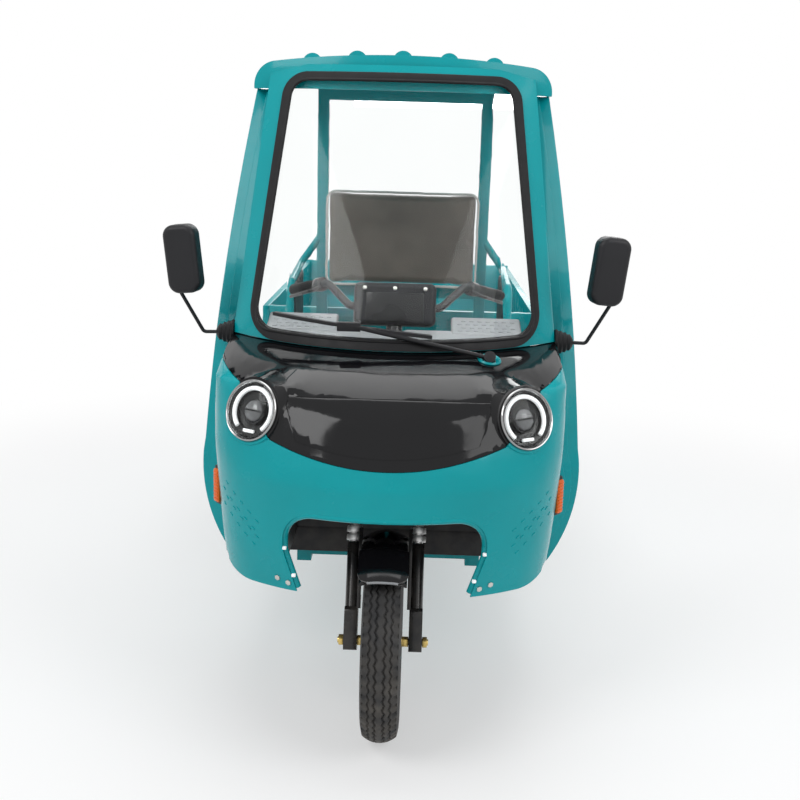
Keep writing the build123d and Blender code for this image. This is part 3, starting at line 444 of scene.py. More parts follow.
# %% Finishes
TEAL = (0.002, 0.34, 0.372)
FINISHES = {
    "teal_paint": finish("teal_paint", TEAL, (0.16, 0.30), grain=700, drift=0.04,
                         dust=0.05, dust_height=0.6, Specular_IOR_Level=0.16, Coat_Weight=0.12,
                         Coat_Roughness=0.04),
    "gloss_black": finish("gloss_black", (0.004, 0.004, 0.005), (0.05, 0.13), grain=900, drift=0.12,
                          Specular_IOR_Level=0.28),
    "satin_black": finish("satin_black", (0.014, 0.014, 0.016), (0.36, 0.52), grain=1500, relief=0.00012,
                          drift=0.15, dust=0.14, dust_height=1.0, Specular_IOR_Level=0.25),
    "grey_plastic": finish("grey_plastic", (0.27, 0.28, 0.29), (0.42, 0.58), grain=1200, relief=0.0002),
    "black_metal": finish("black_metal", (0.012, 0.012, 0.013), (0.20, 0.38), grain=600, relief=0.00006,
                          drift=0.2, dust=0.18, dust_height=0.8, Specular_IOR_Level=0.3, Coat_Weight=0.15),
    "polished_steel": finish("polished_steel", (0.86, 0.86, 0.85), (0.40, 0.52), grain=300, Metallic=0.75),
    "plated_steel": finish("plated_steel", (0.56, 0.55, 0.52), (0.24, 0.42), grain=500, relief=0.00005,
                           drift=0.12, dust=0.2, dust_height=0.6, Metallic=1.0),
    "tyre_rubber": finish("tyre_rubber", (0.016, 0.016, 0.017), (0.62, 0.85), grain=900, relief=0.0002,
                          drift=0.2, dust=0.30, dust_height=0.55),
    "soft_rubber": finish("soft_rubber", (0.011, 0.011, 0.012), (0.45, 0.62), grain=1400, relief=0.0001,
                          drift=0.15, Specular_IOR_Level=0.2),
    "clear_glass": finish("clear_glass", (0.97, 0.99, 0.985), (0.0, 0.012), grain=60, drift=0.005,
                          IOR=1.18, Transmission_Weight=1.0),
    "mirror_glass": finish("mirror_glass", (0.82, 0.84, 0.85), (0.01, 0.04), grain=80, Metallic=1.0),
    "lamp_body": finish("lamp_body", (0.008, 0.008, 0.009), (0.14, 0.28), grain=600, drift=0.1,
                        Specular_IOR_Level=0.35),
    # lamp_halo glows a little: on the lamps this is their own light, on the arch clips it is a painted
    # highlight.
    "lamp_halo": finish("lamp_halo", (0.88, 0.89, 0.90), (0.30, 0.45), grain=500, drift=0.03,
                        Emission_Color=(1, 1, 1, 1), Emission_Strength=0.25),
    "brass_plate": finish("brass_plate", (0.62, 0.46, 0.16), (0.22, 0.4), grain=500, drift=0.12,
                          Metallic=1.0),
    "dark_chrome": finish("dark_chrome", (0.34, 0.34, 0.34), (0.10, 0.22), grain=300, Metallic=1.0),
    "smoked_glass": finish("smoked_glass", (0.10, 0.10, 0.105), (0.03, 0.09), grain=200, drift=0.2,
                           Coat_Weight=0.5),
    "piping": finish("piping", (0.62, 0.60, 0.57), (0.4, 0.55), grain=900, relief=0.0001, drift=0.06),
    "amber_lens": finish("amber_lens", (0.80, 0.13, 0.004), (0.10, 0.22), grain=300, relief=0.0003,
                         drift=0.10, Specular_IOR_Level=0.35),
    "red_lens": finish("red_lens", (0.50, 0.008, 0.010), (0.10, 0.22), grain=300, relief=0.0003, drift=0.10,
                       Specular_IOR_Level=0.35),
    "seat_cover": finish("seat_cover", (0.16, 0.135, 0.115), (0.38, 0.55), grain=520, relief=0.0006,
                         drift=0.28, Sheen_Weight=0.15),
    "battery_case": finish("battery_case", (0.04, 0.04, 0.042), (0.45, 0.6), grain=900, relief=0.00015),
}
clear_to_shadow(FINISHES["clear_glass"])


def dress(obj, material):
    obj.data.materials.clear()
    obj.data.materials.append(material)


for row in frame["record"]["subparts"]:
    dress(nodes[row["node"]], FINISHES[row["material_slot"]])
print("finishes", len(FINISHES), "for", len(nodes), "nodes")

# %% [markdown]
# ## Small helpers for new pieces
# Operators act on whatever is selected, so each helper first clears the selection. A finished
# piece has its place applied into its mesh, gets a finish, and rides on the body that carries it.

# %% Helpers for finishing a piece


def make_active(obj):
    if bpy.context.object and bpy.context.object.mode != "OBJECT":
        bpy.ops.object.mode_set(mode="OBJECT")
    bpy.ops.object.select_all(action="DESELECT")
    obj.select_set(True)
    bpy.context.view_layer.objects.active = obj


def edit(obj, *steps):
    """Run operators on the whole mesh in edit mode; each step is (operator, keyword values)."""
    make_active(obj)
    bpy.ops.object.mode_set(mode="EDIT")
    bpy.ops.mesh.select_all(action="SELECT")
    for operator, values in steps:
        operator(**values)
    bpy.ops.object.mode_set(mode="OBJECT")


def modify(obj, kind, **values):
    """Add one modifier with its settings and apply it."""
    make_active(obj)
    modifier = obj.modifiers.new(kind.lower(), kind)
    for label, value in values.items():
        setattr(modifier, label, value)
    bpy.ops.object.modifier_apply(modifier=modifier.name)
    return obj


def settle(obj, name, body, slot, finish_name=None, smooth=35, place=None):
    """Apply the piece's place, smooth it, name it, dress it and let it ride on a body."""
    make_active(obj)
    if place is not None:
        obj.matrix_world = place @ obj.matrix_world
    bpy.ops.object.transform_apply(location=True, rotation=True, scale=True)
    bpy.ops.object.shade_smooth_by_angle(angle=radians(smooth))
    obj.name = name
    dress(obj, FINISHES[finish_name or slot])
    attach(obj, body)
    return obj


print("finishing helpers ready")

# %% [markdown]
# ### Helpers for shapes
# Most small trim is turned or is a rounded box. What repeats is modelled once and copied, and
# every copy gets its own mesh, so that its place can be applied into it.

# %% Helpers for shapes


def mesh_object(name, points, edges=(), faces=()):
    mesh = bpy.data.meshes.new(name)
    mesh.from_pydata([tuple(p) for p in points], edges, faces)
    obj = bpy.data.objects.new(name, mesh)
    scene.collection.objects.link(obj)
    return obj


def turned(name, profile, steps=64, axis=(0, 0, 1)):
    """A turned piece: a profile of (radius, height) spun round its axis, Z unless X is asked."""
    if axis[0]:
        points = [(height, 0, radius) for radius, height in profile]
    else:
        points = [(radius, 0, height) for radius, height in profile]
    obj = mesh_object(name, points, [(i, i + 1) for i in range(len(points) - 1)])
    edit(obj,
         (bpy.ops.mesh.spin, dict(steps=steps, angle=2 * pi, center=(0, 0, 0), axis=axis)),
         (bpy.ops.mesh.select_all, dict(action="SELECT")),
         (bpy.ops.mesh.remove_doubles, dict(threshold=0.00005)),
         (bpy.ops.mesh.normals_make_consistent, dict(inside=False)))
    return obj


def soft_box(name, size, radius, segments=3):
    """A cube at its size with rounded edges, centred at the origin."""
    bpy.ops.object.select_all(action="DESELECT")
    bpy.ops.mesh.primitive_cube_add(size=1)
    obj = bpy.context.object
    obj.name = name
    obj.scale = size
    bpy.ops.object.transform_apply(scale=True)
    edit(obj, (bpy.ops.mesh.bevel, dict(offset=radius, segments=segments, affect="EDGES")))
    return obj


def copies(model, places):
    """The model at the first place, and a copy with its own mesh at each of the others."""
    make_active(model)
    bpy.ops.object.transform_apply(location=True, rotation=True, scale=True)
    pieces = [model]
    for _ in places[1:]:
        twin = bpy.data.objects.new(model.name, model.data.copy())
        scene.collection.objects.link(twin)
        pieces.append(twin)
    for piece, place in zip(pieces, places):
        piece.matrix_world = place
    return pieces


def node_copy(node, name):
    """A new object with its own copy of a CAD node's mesh."""
    obj = bpy.data.objects.new(name, nodes[node].data.copy())
    scene.collection.objects.link(obj)
    return obj


def join(objects):
    make_active(objects[0])
    for obj in objects:
        obj.select_set(True)
    bpy.ops.object.join()
    return bpy.context.object


def body_of(node):
    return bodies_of(nodes[node])[0]


print("shape helpers ready")

# %% [markdown]
# ## Rounded edges and smooth panels
# A real pressing or moulding has no knife edges, and a light catches on the small radius. Each
# rigid CAD node is copied, its triangles are merged into clean faces, its edges are bevelled by
# a radius that suits the material, and the copy is shaded smooth. The mouldings of the front are
# also cut into an even grid and smoothed between their real edges, and the fairing is drawn out
# to a shallow crease. The outline stays the same.

# %% Smooth flow and crease
GRID_X, GRID_Z = 0.024, 0.020
FLOW_KEEP, FLOW_REPEAT = 24, 12
CREASE_Z, CREASE_OUT = 0.691, 0.008
CREASE_BELOW, CREASE_ABOVE = 0.085, 0.055
CREASE_FADE = (0.29, 0.41)
CREASE_CENTRE = 0.4


def flow(obj):
    """Cut a moulding into an even grid, then smooth every point that is not on a real edge."""
    low, high = [Vector(corner) for corner in (obj.bound_box[0], obj.bound_box[6])]
    rows = [low.z + GRID_Z * step for step in range(1, int((high.z - low.z) / GRID_Z) + 1)]
    columns = [low.x + GRID_X * step for step in range(1, int((high.x - low.x) / GRID_X) + 1)]
    everything = (bpy.ops.mesh.select_all, dict(action="SELECT"))
    steps = []
    for height in rows + [CREASE_Z]:
        steps += [everything, (bpy.ops.mesh.bisect, dict(plane_co=(0, 0, height), plane_no=(0, 0, 1)))]
    for across in columns:
        steps += [everything, (bpy.ops.mesh.bisect, dict(plane_co=(across, 0, 0), plane_no=(1, 0, 0)))]
    edit(obj, *steps)
    bpy.ops.object.mode_set(mode="EDIT")
    shape = bmesh.from_edit_mesh(obj.data)
    for point in shape.verts:
        point.select = all(len(edge.link_faces) == 2 and edge.calc_face_angle() < radians(FLOW_KEEP)
                           for edge in point.link_edges)
    shape.select_flush_mode()
    bmesh.update_edit_mesh(obj.data)
    bpy.ops.mesh.vertices_smooth(factor=0.5, repeat=FLOW_REPEAT)
    bpy.ops.object.mode_set(mode="OBJECT")


def press_crease(obj):
    """A shallow crease across the fairing: the panel is drawn out to a line at one height."""
    for point in obj.data.vertices:
        x, y, z = point.co
        away = z - CREASE_Z
        rise = 1 - abs(away) / (CREASE_ABOVE if away > 0 else CREASE_BELOW)
        fade = (CREASE_FADE[1] - abs(x)) / (CREASE_FADE[1] - CREASE_FADE[0])
        if rise > 0 and fade > 0:
            outward = Vector((x, y - AXLE.y - CREASE_CENTRE, 0)).normalized()
            point.co += outward * CREASE_OUT * rise * min(fade, 1)
    make_active(obj)
    bpy.ops.object.mode_set(mode="EDIT")
    bpy.ops.mesh.select_all(action="DESELECT")
    shape = bmesh.from_edit_mesh(obj.data)
    for edge in shape.edges:
        edge.select = all(abs(end.co.z - CREASE_Z) < 0.0002 and abs(end.co.x) < CREASE_FADE[0]
                          for end in edge.verts)
    bmesh.update_edit_mesh(obj.data)
    bpy.ops.mesh.mark_sharp()
    bpy.ops.object.mode_set(mode="OBJECT")


print("grid", GRID_X, "by", GRID_Z, "m, crease at", CREASE_Z)

# %% Rounded copies
MERGE = 0.00002
FLAT_ANGLE, BEVEL_ANGLE = 0.5, 42
EDGE_RADIUS = {"teal_paint": 0.003, "gloss_black": 0.002, "satin_black": 0.002, "grey_plastic": 0.003,
               "black_metal": 0.0015, "polished_steel": 0.001, "plated_steel": 0.001,
               "soft_rubber": 0.003, "red_lens": 0.004}
KEPT_AS_CAD = {"battery_pack", "windscreen_glass", "mirror_panes"}
MOULDED = {"front_fairing", "nose_panel", "nose_screen", "screen_surround"}
REMADE = {"front_tyre", "rear_tyre_left", "rear_tyre_right", "headlamp_left", "headlamp_right",
          "seat_cushion", "backrest", "rail_pads", "side_marker_left", "side_marker_right"}


def rounded_copy(node, slot):
    """The node's own form with merged faces, bevelled edges and smooth shading."""
    obj = node_copy(node, node + "_finished")
    make_active(obj)
    bpy.ops.mesh.customdata_custom_splitnormals_clear()
    edit(obj,
         (bpy.ops.mesh.remove_doubles, dict(threshold=MERGE)),
         (bpy.ops.mesh.dissolve_limited, dict(angle_limit=radians(FLAT_ANGLE))))
    modify(obj, "BEVEL", width=EDGE_RADIUS[slot], segments=2, limit_method="ANGLE",
           angle_limit=radians(BEVEL_ANGLE))
    if node in MOULDED:
        flow(obj)
    if node == "front_fairing":
        press_crease(obj)
    settle(obj, node + "_finished", body_of(node), slot, smooth=34)
    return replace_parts(obj, node)


FINISHED = {}
for row in frame["record"]["subparts"]:
    if row["node"] not in REMADE | KEPT_AS_CAD:
        FINISHED[row["node"]] = rounded_copy(row["node"], row["material_slot"])
print("rounded copies", len(FINISHED))

# %% [markdown]
# ## Headlamps
# A round lamp has a bright bezel, a dark bowl, a light ring that is open at the bottom, a
# projector lens cut by a shield, and a clear cover. Round pieces are turned: a profile in the
# lamp's own axes is spun, then set into its seat on the nose at the seat's two angles.

# %% Headlamps
LAMP_X, LAMP_BEHIND, LAMP_Z = 0.330, 0.016, 0.842
LAMP_R = 0.077
LAMP_YAW, LAMP_TILT = 31, 18
HALO_R, HALO_TUBE, HALO_OUT, HALO_GAP = 0.0560, 0.0056, 0.007, 42


def lamp_seat(side):
    spot = Matrix.Translation(at(side * LAMP_X, LAMP_BEHIND, LAMP_Z))
    yaw = Matrix.Rotation(radians(side * LAMP_YAW), 4, "Z")
    return spot @ yaw @ Matrix.Rotation(radians(90 - LAMP_TILT), 4, "X")


def lamp_housing():
    """Bowl behind, flange at the seat and a stepped dish in front, as one closed turning."""
    wall = LAMP_R - 0.0008
    back = [(0, -0.085), (0.047, -0.085), (0.062, -0.05), (wall, -0.018), (wall, 0.012)]
    dish = [(0.0705, 0.012), (0.066, 0.006), (0.064, 0.003), (0.050, 0.002), (0.048, -0.004),
            (0.033, -0.006), (0.031, -0.012), (0, -0.012)]
    return turned("headlamp", back + dish, 72)


def lamp_bezel():
    ring = [(LAMP_R, 0.010), (LAMP_R, 0.014), (0.0760, 0.0178), (0.0745, 0.0192), (0.0725, 0.0188),
            (0.0708, 0.0165), (0.0700, 0.0120), (0.0720, 0.0095), (LAMP_R, 0.010)]
    return turned("bezel", ring, 72)


def lamp_halo():
    """A light ring with a gap at the bottom: a torus with the gap's faces taken out, then capped."""
    bpy.ops.object.select_all(action="DESELECT")
    bpy.ops.mesh.primitive_torus_add(major_radius=HALO_R, minor_radius=HALO_TUBE,
                                     major_segments=90, minor_segments=12)
    ring = bpy.context.object
    ring.location.z = HALO_OUT
    bpy.ops.object.mode_set(mode="EDIT")
    shape = bmesh.from_edit_mesh(ring.data)
    for face in shape.faces:
        middle = face.calc_center_median()
        face.select = abs(degrees(atan2(middle.x, -middle.y))) < HALO_GAP
    bmesh.update_edit_mesh(ring.data)
    bpy.ops.mesh.delete(type="FACE")
    bpy.ops.mesh.select_all(action="SELECT")
    bpy.ops.mesh.fill_holes(sides=0)
    bpy.ops.object.mode_set(mode="OBJECT")
    return ring


def projector_lens():
    dome = [(0, 0.016), (0.009, 0.0153), (0.018, 0.0128), (0.0245, 0.0085), (0.0275, 0.003),
            (0.0275, -0.011), (0, -0.011)]
    return turned("projector", dome, 48)


def projector_collar():
    collar = [(0.0278, -0.008), (0.0278, 0.004), (0.0300, 0.0055), (0.0330, 0.004), (0.0335, -0.008),
              (0.0278, -0.008)]
    return turned("collar", collar, 48)


def projector_shield():
    shield = soft_box("shield", (0.058, 0.0042, 0.006), 0.0012, 2)
    shield.location = (0, 0.001, 0.0155)
    return shield


def lamp_bar():
    bar = soft_box("bar", (0.033, 0.0085, 0.008), 0.0022, 3)
    bar.location = (0, -0.0505, 0.0075)
    return bar


def lamp_cover():
    cover = [(0, 0.0245), (0.022, 0.0238), (0.044, 0.0212), (0.0600, 0.0172), (0.0700, 0.0135)]
    obj = turned("cover", cover, 72)
    return modify(obj, "SOLIDIFY", thickness=0.0016, offset=-1)


LAMP_PIECES = (
    # piece, maker, slot, finish
    ("housing", lamp_housing, "lamp_body", "lamp_body"),
    ("bezel", lamp_bezel, "lamp_body", "dark_chrome"),
    ("halo", lamp_halo, "lamp_body", "lamp_halo"),
    ("projector", projector_lens, "lamp_body", "smoked_glass"),
    ("collar", projector_collar, "lamp_body", "lamp_body"),
    ("shield", projector_shield, "lamp_body", "lamp_body"),
    ("bar", lamp_bar, "lamp_body", "lamp_halo"),
    ("cover", lamp_cover, "clear_glass", "clear_glass"),
)
lamp_seats = [lamp_seat(side) for side, _ in SIDES]
for part, maker, slot, look in LAMP_PIECES:
    for (_, label), piece in zip(SIDES, copies(maker(), lamp_seats)):
        settle(piece, f"headlamp_{label}_{part}", "vehicle", slot, look)
        if part == "housing":
            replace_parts(piece, f"headlamp_{label}")
print("headlamps, pieces each", len(LAMP_PIECES))

# %% [markdown]
# ## Tyres with a road tread
# The tyre's section is a profile with rim beads, bulged walls and a crowned tread. It is spun
# finely round the axle, and then each tread point is pushed in where a groove runs: two zigzag
# grooves beside the centre rib, two more near the shoulders, and short cuts across the edge.
# Moving points by a formula keeps the pattern even all the way round.

# %% Tyres
TYRE_HALF = 0.049
RIM_R = 0.152
TREAD_HALF = 0.042
TREAD_ROWS = 60
TYRE_STEPS = 360
TREAD_PITCHES = 60
GROOVES = (
    # distance from the centre, zigzag, width, depth
    (0.0105, 0.0030, 0.0046, 0.0050),
    (0.0255, 0.0026, 0.0040, 0.0045),
)
CUT_FROM, CUT_SHARE, CUT_DEPTH = 0.0310, 0.26, 0.0036
CROWN_DROP, SHOULDER_DROP = 0.0155, 0.0162


def tyre_profile():
    """Half section from bead to bead: wall, tread and wall, in (radius, along the axle)."""
    wall = [(RIM_R + 0.0005, 0.040), (RIM_R + 0.010, 0.0445), (RIM_R + 0.024, 0.0478),
            (RIM_R + 0.042, TYRE_HALF), (RIM_R + 0.060, 0.0478), (RIM_R + 0.072, 0.0455),
            (TYRE_R - 0.0165, 0.0430)]
    tread = []
    for row in range(TREAD_ROWS + 1):
        across = TREAD_HALF * (1 - 2 * row / TREAD_ROWS)
        tread.append((TYRE_R - CROWN_DROP * (abs(across) / TREAD_HALF) ** 2.2, across))
    return wall + tread + [(radius, -across) for radius, across in reversed(wall)]


def soft_step(value, width):
    """1 inside, 0 outside, with a short ramp."""
    return max(0.0, min(1.0, 0.5 - value / width))


def groove_depth(across, turn):
    """How far the tread is pushed in at a place across the tread and round the tyre."""
    wave = abs((turn * TREAD_PITCHES) % 1 * 2 - 1) * 2 - 1
    depth = 0.0
    for offset, swing, width, deep in GROOVES:
        away = abs(abs(across) - offset - swing * wave) - width / 2
        depth = max(depth, deep * soft_step(away, 0.0012))
    if abs(across) > CUT_FROM:
        share = (turn * TREAD_PITCHES + 0.25) % 1
        depth = max(depth, CUT_DEPTH * soft_step(abs(share - 0.5) - CUT_SHARE / 2, 0.10))
    return depth


def tyre():
    """A tyre about the origin, its axle along X, with the grooves pressed into its tread."""
    obj = turned("tyre", tyre_profile(), TYRE_STEPS, axis=(1, 0, 0))
    for point in obj.data.vertices:
        radius = hypot(point.co.y, point.co.z)
        if radius > TYRE_R - SHOULDER_DROP and abs(point.co.x) <= TREAD_HALF + 0.0001:
            turn = atan2(point.co.z, point.co.y) / (2 * pi) % 1
            shrink = (radius - groove_depth(point.co.x, turn)) / radius
            point.co.y *= shrink
            point.co.z *= shrink
    return obj


TYRES = ("front_tyre", "rear_tyre_left", "rear_tyre_right")
tyre_places = []
for node in TYRES:
    low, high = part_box(node)
    tyre_places.append(Matrix.Translation((low + high) / 2))
for node, piece in zip(TYRES, copies(tyre(), tyre_places)):
    settle(piece, node + "_tread", body_of(node), "tyre_rubber", smooth=40)
    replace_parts(piece, node)
print("tyre faces", len(piece.data.polygons))

# %% [markdown]
# ## Seat cushion, backrest and side pads
# Foam under a stretched cover swells between its seams. The cushion and the backrest start as boxes
# a little smaller than their CAD solids, and the side pads as a copy of their own CAD mesh. Each is
# remeshed evenly and blown up by a short cloth simulation with pressure and no gravity. The move is
# capped, and the pad is kept within its own space.

# %% Padded pieces
PAD_FRAMES, PAD_PRESSURE = 20, 4


def clamp_between(value, low, high):
    return max(low, min(high, value))


def stuff(obj, voxel, cap, low, high, crown=0.0):
    """Remesh, inflate, cap the swelling, keep inside the CAD solid's box, subdivide once."""
    make_active(obj)
    bpy.ops.object.transform_apply(location=True, rotation=True, scale=True)
    modify(obj, "REMESH", mode="VOXEL", voxel_size=voxel)
    rest = [point.co.copy() for point in obj.data.vertices]
    cloth = obj.modifiers.new("cloth", "CLOTH")
    cloth.settings.use_pressure = True
    cloth.settings.uniform_pressure_force = PAD_PRESSURE
    cloth.settings.effector_weights.gravity = 0
    cloth.point_cache.frame_end = PAD_FRAMES
    for number in range(1, PAD_FRAMES + 1):
        scene.frame_set(number)
    make_active(obj)
    bpy.ops.object.modifier_apply(modifier=cloth.name)
    scene.frame_set(1)
    for point, start in zip(obj.data.vertices, rest):
        move = point.co - start
        if move.length > cap:
            point.co = start + move * (cap / move.length)
        for axis in range(3):
            spare = crown if axis == 2 else 0.0
            point.co[axis] = clamp_between(point.co[axis], low[axis], high[axis] + spare)
    modify(obj, "SUBSURF", levels=1, render_levels=1)
    return obj


def padded_node(node, radius, voxel, cap, shrink, crown):
    low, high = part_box(node)
    obj = soft_box(node + "_pad", high - low - Vector((shrink, shrink, shrink)) * 2, radius, 4)
    obj.location = (low + high) / 2
    stuff(obj, voxel, cap, low, high, crown)
    settle(obj, node + "_pad", body_of(node), "seat_cover", smooth=60)
    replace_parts(obj, node)
    return obj


cushion = padded_node("seat_cushion", radius=0.030, voxel=0.007, cap=0.014, shrink=0.006,
                      crown=0.008)
backrest = padded_node("backrest", radius=0.018, voxel=0.006, cap=0.010, shrink=0.005,
                       crown=0.0)

side_pads = node_copy("rail_pads", "rail_pads_pad")
edit(side_pads, (bpy.ops.mesh.remove_doubles, dict(threshold=MERGE)))
pads_low, pads_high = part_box("rail_pads")
stuff(side_pads, voxel=0.005, cap=0.004, low=pads_low, high=pads_high)
settle(side_pads, "rail_pads_pad", body_of("rail_pads"), "satin_black", smooth=60)
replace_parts(side_pads, "rail_pads")
print("padded faces", [len(obj.data.polygons) for obj in (cushion, backrest, side_pads)])

# %% [markdown]
# ## Piping
# A sewn cord hides the seam where two covers meet. It is a round tube on a closed path, so a
# curve with a bevel is the natural start; it is turned into a mesh once its path is right.

# %% Piping
PIPING_R, PIPING_INSET = 0.0042, 0.006
BACK_SEAM, BACK_ROUND = 0.010, 0.030
SEAT_SEAM, SEAT_ROUND = 0.012, 0.046


def rounded_loop(half_a, half_b, radius, steps=8):
    """Corner points of a rounded rectangle about the origin, as pairs."""
    points = []
    for corner, (sign_a, sign_b) in enumerate(((1, 1), (-1, 1), (-1, -1), (1, -1))):
        for step in range(steps + 1):
            angle = (corner + step / steps) * pi / 2
            points.append((sign_a * (half_a - radius) + radius * cos(angle),
                           sign_b * (half_b - radius) + radius * sin(angle)))
    return points


def tube_along(name, points, radius, closed=False):
    """A round tube through points, made as a bevelled curve and then turned into a mesh."""
    data = bpy.data.curves.new(name, "CURVE")
    data.dimensions = "3D"
    data.bevel_depth = radius
    data.bevel_resolution = 3
    data.use_fill_caps = True
    line = data.splines.new("POLY")
    line.points.add(len(points) - 1)
    for knot, point in zip(line.points, points):
        knot.co = (*point, 1)
    line.use_cyclic_u = closed
    obj = bpy.data.objects.new(name, data)
    scene.collection.objects.link(obj)
    make_active(obj)
    bpy.ops.object.convert(target="MESH")
    return bpy.context.object


back_low, back_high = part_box("backrest")
back_mid = (back_low + back_high) / 2
seat_low, seat_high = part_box("seat_cushion")
seat_mid = (seat_low + seat_high) / 2
back_size = (back_high - back_low) / 2
seat_size = (seat_high - seat_low) / 2
back_loop = [Vector((back_mid.x + a, back_low.y + BACK_SEAM, back_mid.z + b))
             for a, b in rounded_loop(back_size.x - PIPING_INSET, back_size.z - PIPING_INSET, BACK_ROUND)]
seat_loop = [Vector((seat_mid.x + a, seat_mid.y + b, seat_high.z - SEAT_SEAM))
             for a, b in rounded_loop(seat_size.x - PIPING_INSET, seat_size.y - PIPING_INSET, SEAT_ROUND)]
for name, loop in (("backrest_piping", back_loop), ("cushion_piping", seat_loop)):
    settle(tube_along(name, loop, PIPING_R, closed=True), name, "vehicle", "seat_cover", "piping")
print("piping points", len(back_loop), len(seat_loop))

# %% [markdown]
# ## Setting small pieces on a curved shell
# Trim on a bowed panel has to follow it. A ray is sent from outside onto the finished panel;
# where it lands gives the place, and the surface normal there gives the piece its direction.

# %% Rays onto the shell
WASHER = 0.0016
bpy.context.view_layer.update()


def ray_onto(node, start, way):
    """Where a ray lands on a finished node, and the surface normal there."""
    hit, spot, normal, _ = FINISHED[node].ray_cast(start, Vector(way))
    if not hit:
        raise ValueError(f"nothing of {node} from {start} along {way}")
    return spot, normal


def on_front(node, x, z):
    """Place and normal of the finished node's front surface at a width and a height."""
    return ray_onto(node, Vector((x, AXLE.y - 2, z)), (0, 1, 0))


def facing(spot, normal, spin=0.0):
    """A matrix that sets a piece's Z along the normal, its Y as near upright as it can be."""
    across = Vector((0, 0, 1)).cross(normal).normalized()
    upright = normal.cross(across)
    turn = Matrix((across, upright, normal)).transposed().to_4x4()
    return Matrix.Translation(spot) @ turn @ Matrix.Rotation(spin, 4, "Z")


def hex_bolt(name, radius, height):
    """A hexagon head with softened edges and its washer, about the middle of the head."""
    bpy.ops.object.select_all(action="DESELECT")
    bpy.ops.mesh.primitive_cylinder_add(vertices=6, radius=radius, depth=height, location=(0, 0, 0))
    head = bpy.context.object
    edit(head, (bpy.ops.mesh.bevel, dict(offset=radius * 0.12, segments=2, affect="EDGES")))
    seat, top = -height / 2, WASHER - height / 2
    washer = turned("washer", [(0, top), (radius * 1.4, top), (radius * 1.5, seat), (0, seat)], 24)
    bolt = join([head, washer])
    bolt.name = name
    return bolt


print("nose at the centre", [round(v, 3) for v in on_front("nose_panel", 0.0, 0.80)[0]])

# %% [markdown]
# ## The rolled edge of the wheel arch, its bolts and the embossed dashes
# A moulding is rolled over where it ends, so the arch gets a thick painted lip along its own
# outline, with pale clips near its lower ends. The clips glow faintly, a painted highlight on plastic
# that is no lamp. Bolts hold its two feet, and rows of short raised dashes stiffen each cheek.

# %% Arch lip, clips and bolts
ARCH_HALF, ARCH_TOP, ARCH_CORNER = 0.250, 0.622, 0.080
FOOT_HALF, FOOT_Z, FOOT_TOP = 0.214, 0.405, 0.515
LIP_R, LIP_IN, LIP_REACH = 0.0085, 0.004, 0.012
CLIP_SIZE, CLIP_LIFT, CLIP_KNOTS = (0.011, 0.010, 0.009), 0.004, (1, 3, -4, -2)
FOOT_BOLTS = ((0.236, 0.426), (0.264, 0.434), (-0.236, 0.426), (-0.264, 0.434))
CORNER_STEPS = 8


def arch_half_outline():
    """One half of the arch from the foot to the middle, with the way out of the opening."""
    rows = []
    for share in (0.08, 0.35, 0.65, 1.0):
        rows.append((FOOT_HALF + (ARCH_HALF - FOOT_HALF) * share,
                     FOOT_Z + (FOOT_TOP - FOOT_Z) * share, 1, 0))
    for step in range(CORNER_STEPS + 1):
        angle = step / CORNER_STEPS * pi / 2
        rows.append((ARCH_HALF - ARCH_CORNER + ARCH_CORNER * cos(angle),
                     ARCH_TOP - ARCH_CORNER + ARCH_CORNER * sin(angle), cos(angle), sin(angle)))
    for x in (0.13, 0.09, 0.045, 0.0):
        rows.append((x, ARCH_TOP, 0, 1))
    return rows


half_outline = arch_half_outline()
outline = half_outline + [(-x, z, -out_x, out_z) for x, z, out_x, out_z in reversed(half_outline[:-1])]
lip_path = []
for x, z, out_x, out_z in outline:
    spot, _ = on_front("front_fairing", x + LIP_REACH * out_x, z + LIP_REACH * out_z)
    lip_path.append(Vector((x - LIP_IN * out_x, spot.y + LIP_R * 0.75, z - LIP_IN * out_z)))
settle(tube_along("arch_lip", lip_path, LIP_R), "arch_lip", "vehicle", "teal_paint")

clip_places = [Matrix.Translation(lip_path[knot] + Vector((0, -LIP_R, CLIP_LIFT))) for knot in CLIP_KNOTS]
clips = copies(soft_box("clip", CLIP_SIZE, 0.003, 3), clip_places)
# The clips take the halo's white finish, which glows a little: a painted highlight, since the clips are no
# lamp.
settle(join(clips), "arch_clips", "vehicle", "grey_plastic", "lamp_halo")

bolt_places = [facing(*on_front("front_fairing", x, z)) for x, z in FOOT_BOLTS]
foot_bolts = copies(hex_bolt("foot_bolt", 0.0078, 0.006), bolt_places)
settle(join(foot_bolts), "foot_bolts", "vehicle", "plated_steel")
print("arch lip points", len(lip_path), "clips", len(clip_places), "bolts", len(bolt_places))

# %% Cheek dashes
DASH_SIZE, DASH_TURN = (0.013, 0.0042, 0.0036), 0.5
DASH_X, DASH_Z = 0.318, 0.575
dash_places = []
for side, _ in SIDES:
    for row in range(4):
        for column in range(5):
            x = DASH_X + 0.021 * column + 0.010 * (row % 2)
            z = DASH_Z + 0.019 * column - 0.021 * row
            dash_places.append(facing(*on_front("front_fairing", side * x, z), side * DASH_TURN))
dashes = copies(soft_box("dash", DASH_SIZE, 0.0015, 2), dash_places)
settle(join(dashes), "cheek_dashes", "vehicle", "teal_paint")
print("dashes", len(dash_places))

# %% [markdown]
# ## Side markers
# Each amber marker is a black tray with a lens standing proud of it. The lens is a rounded box
# with fine ribs, so it breaks up the light as a moulded lens does.

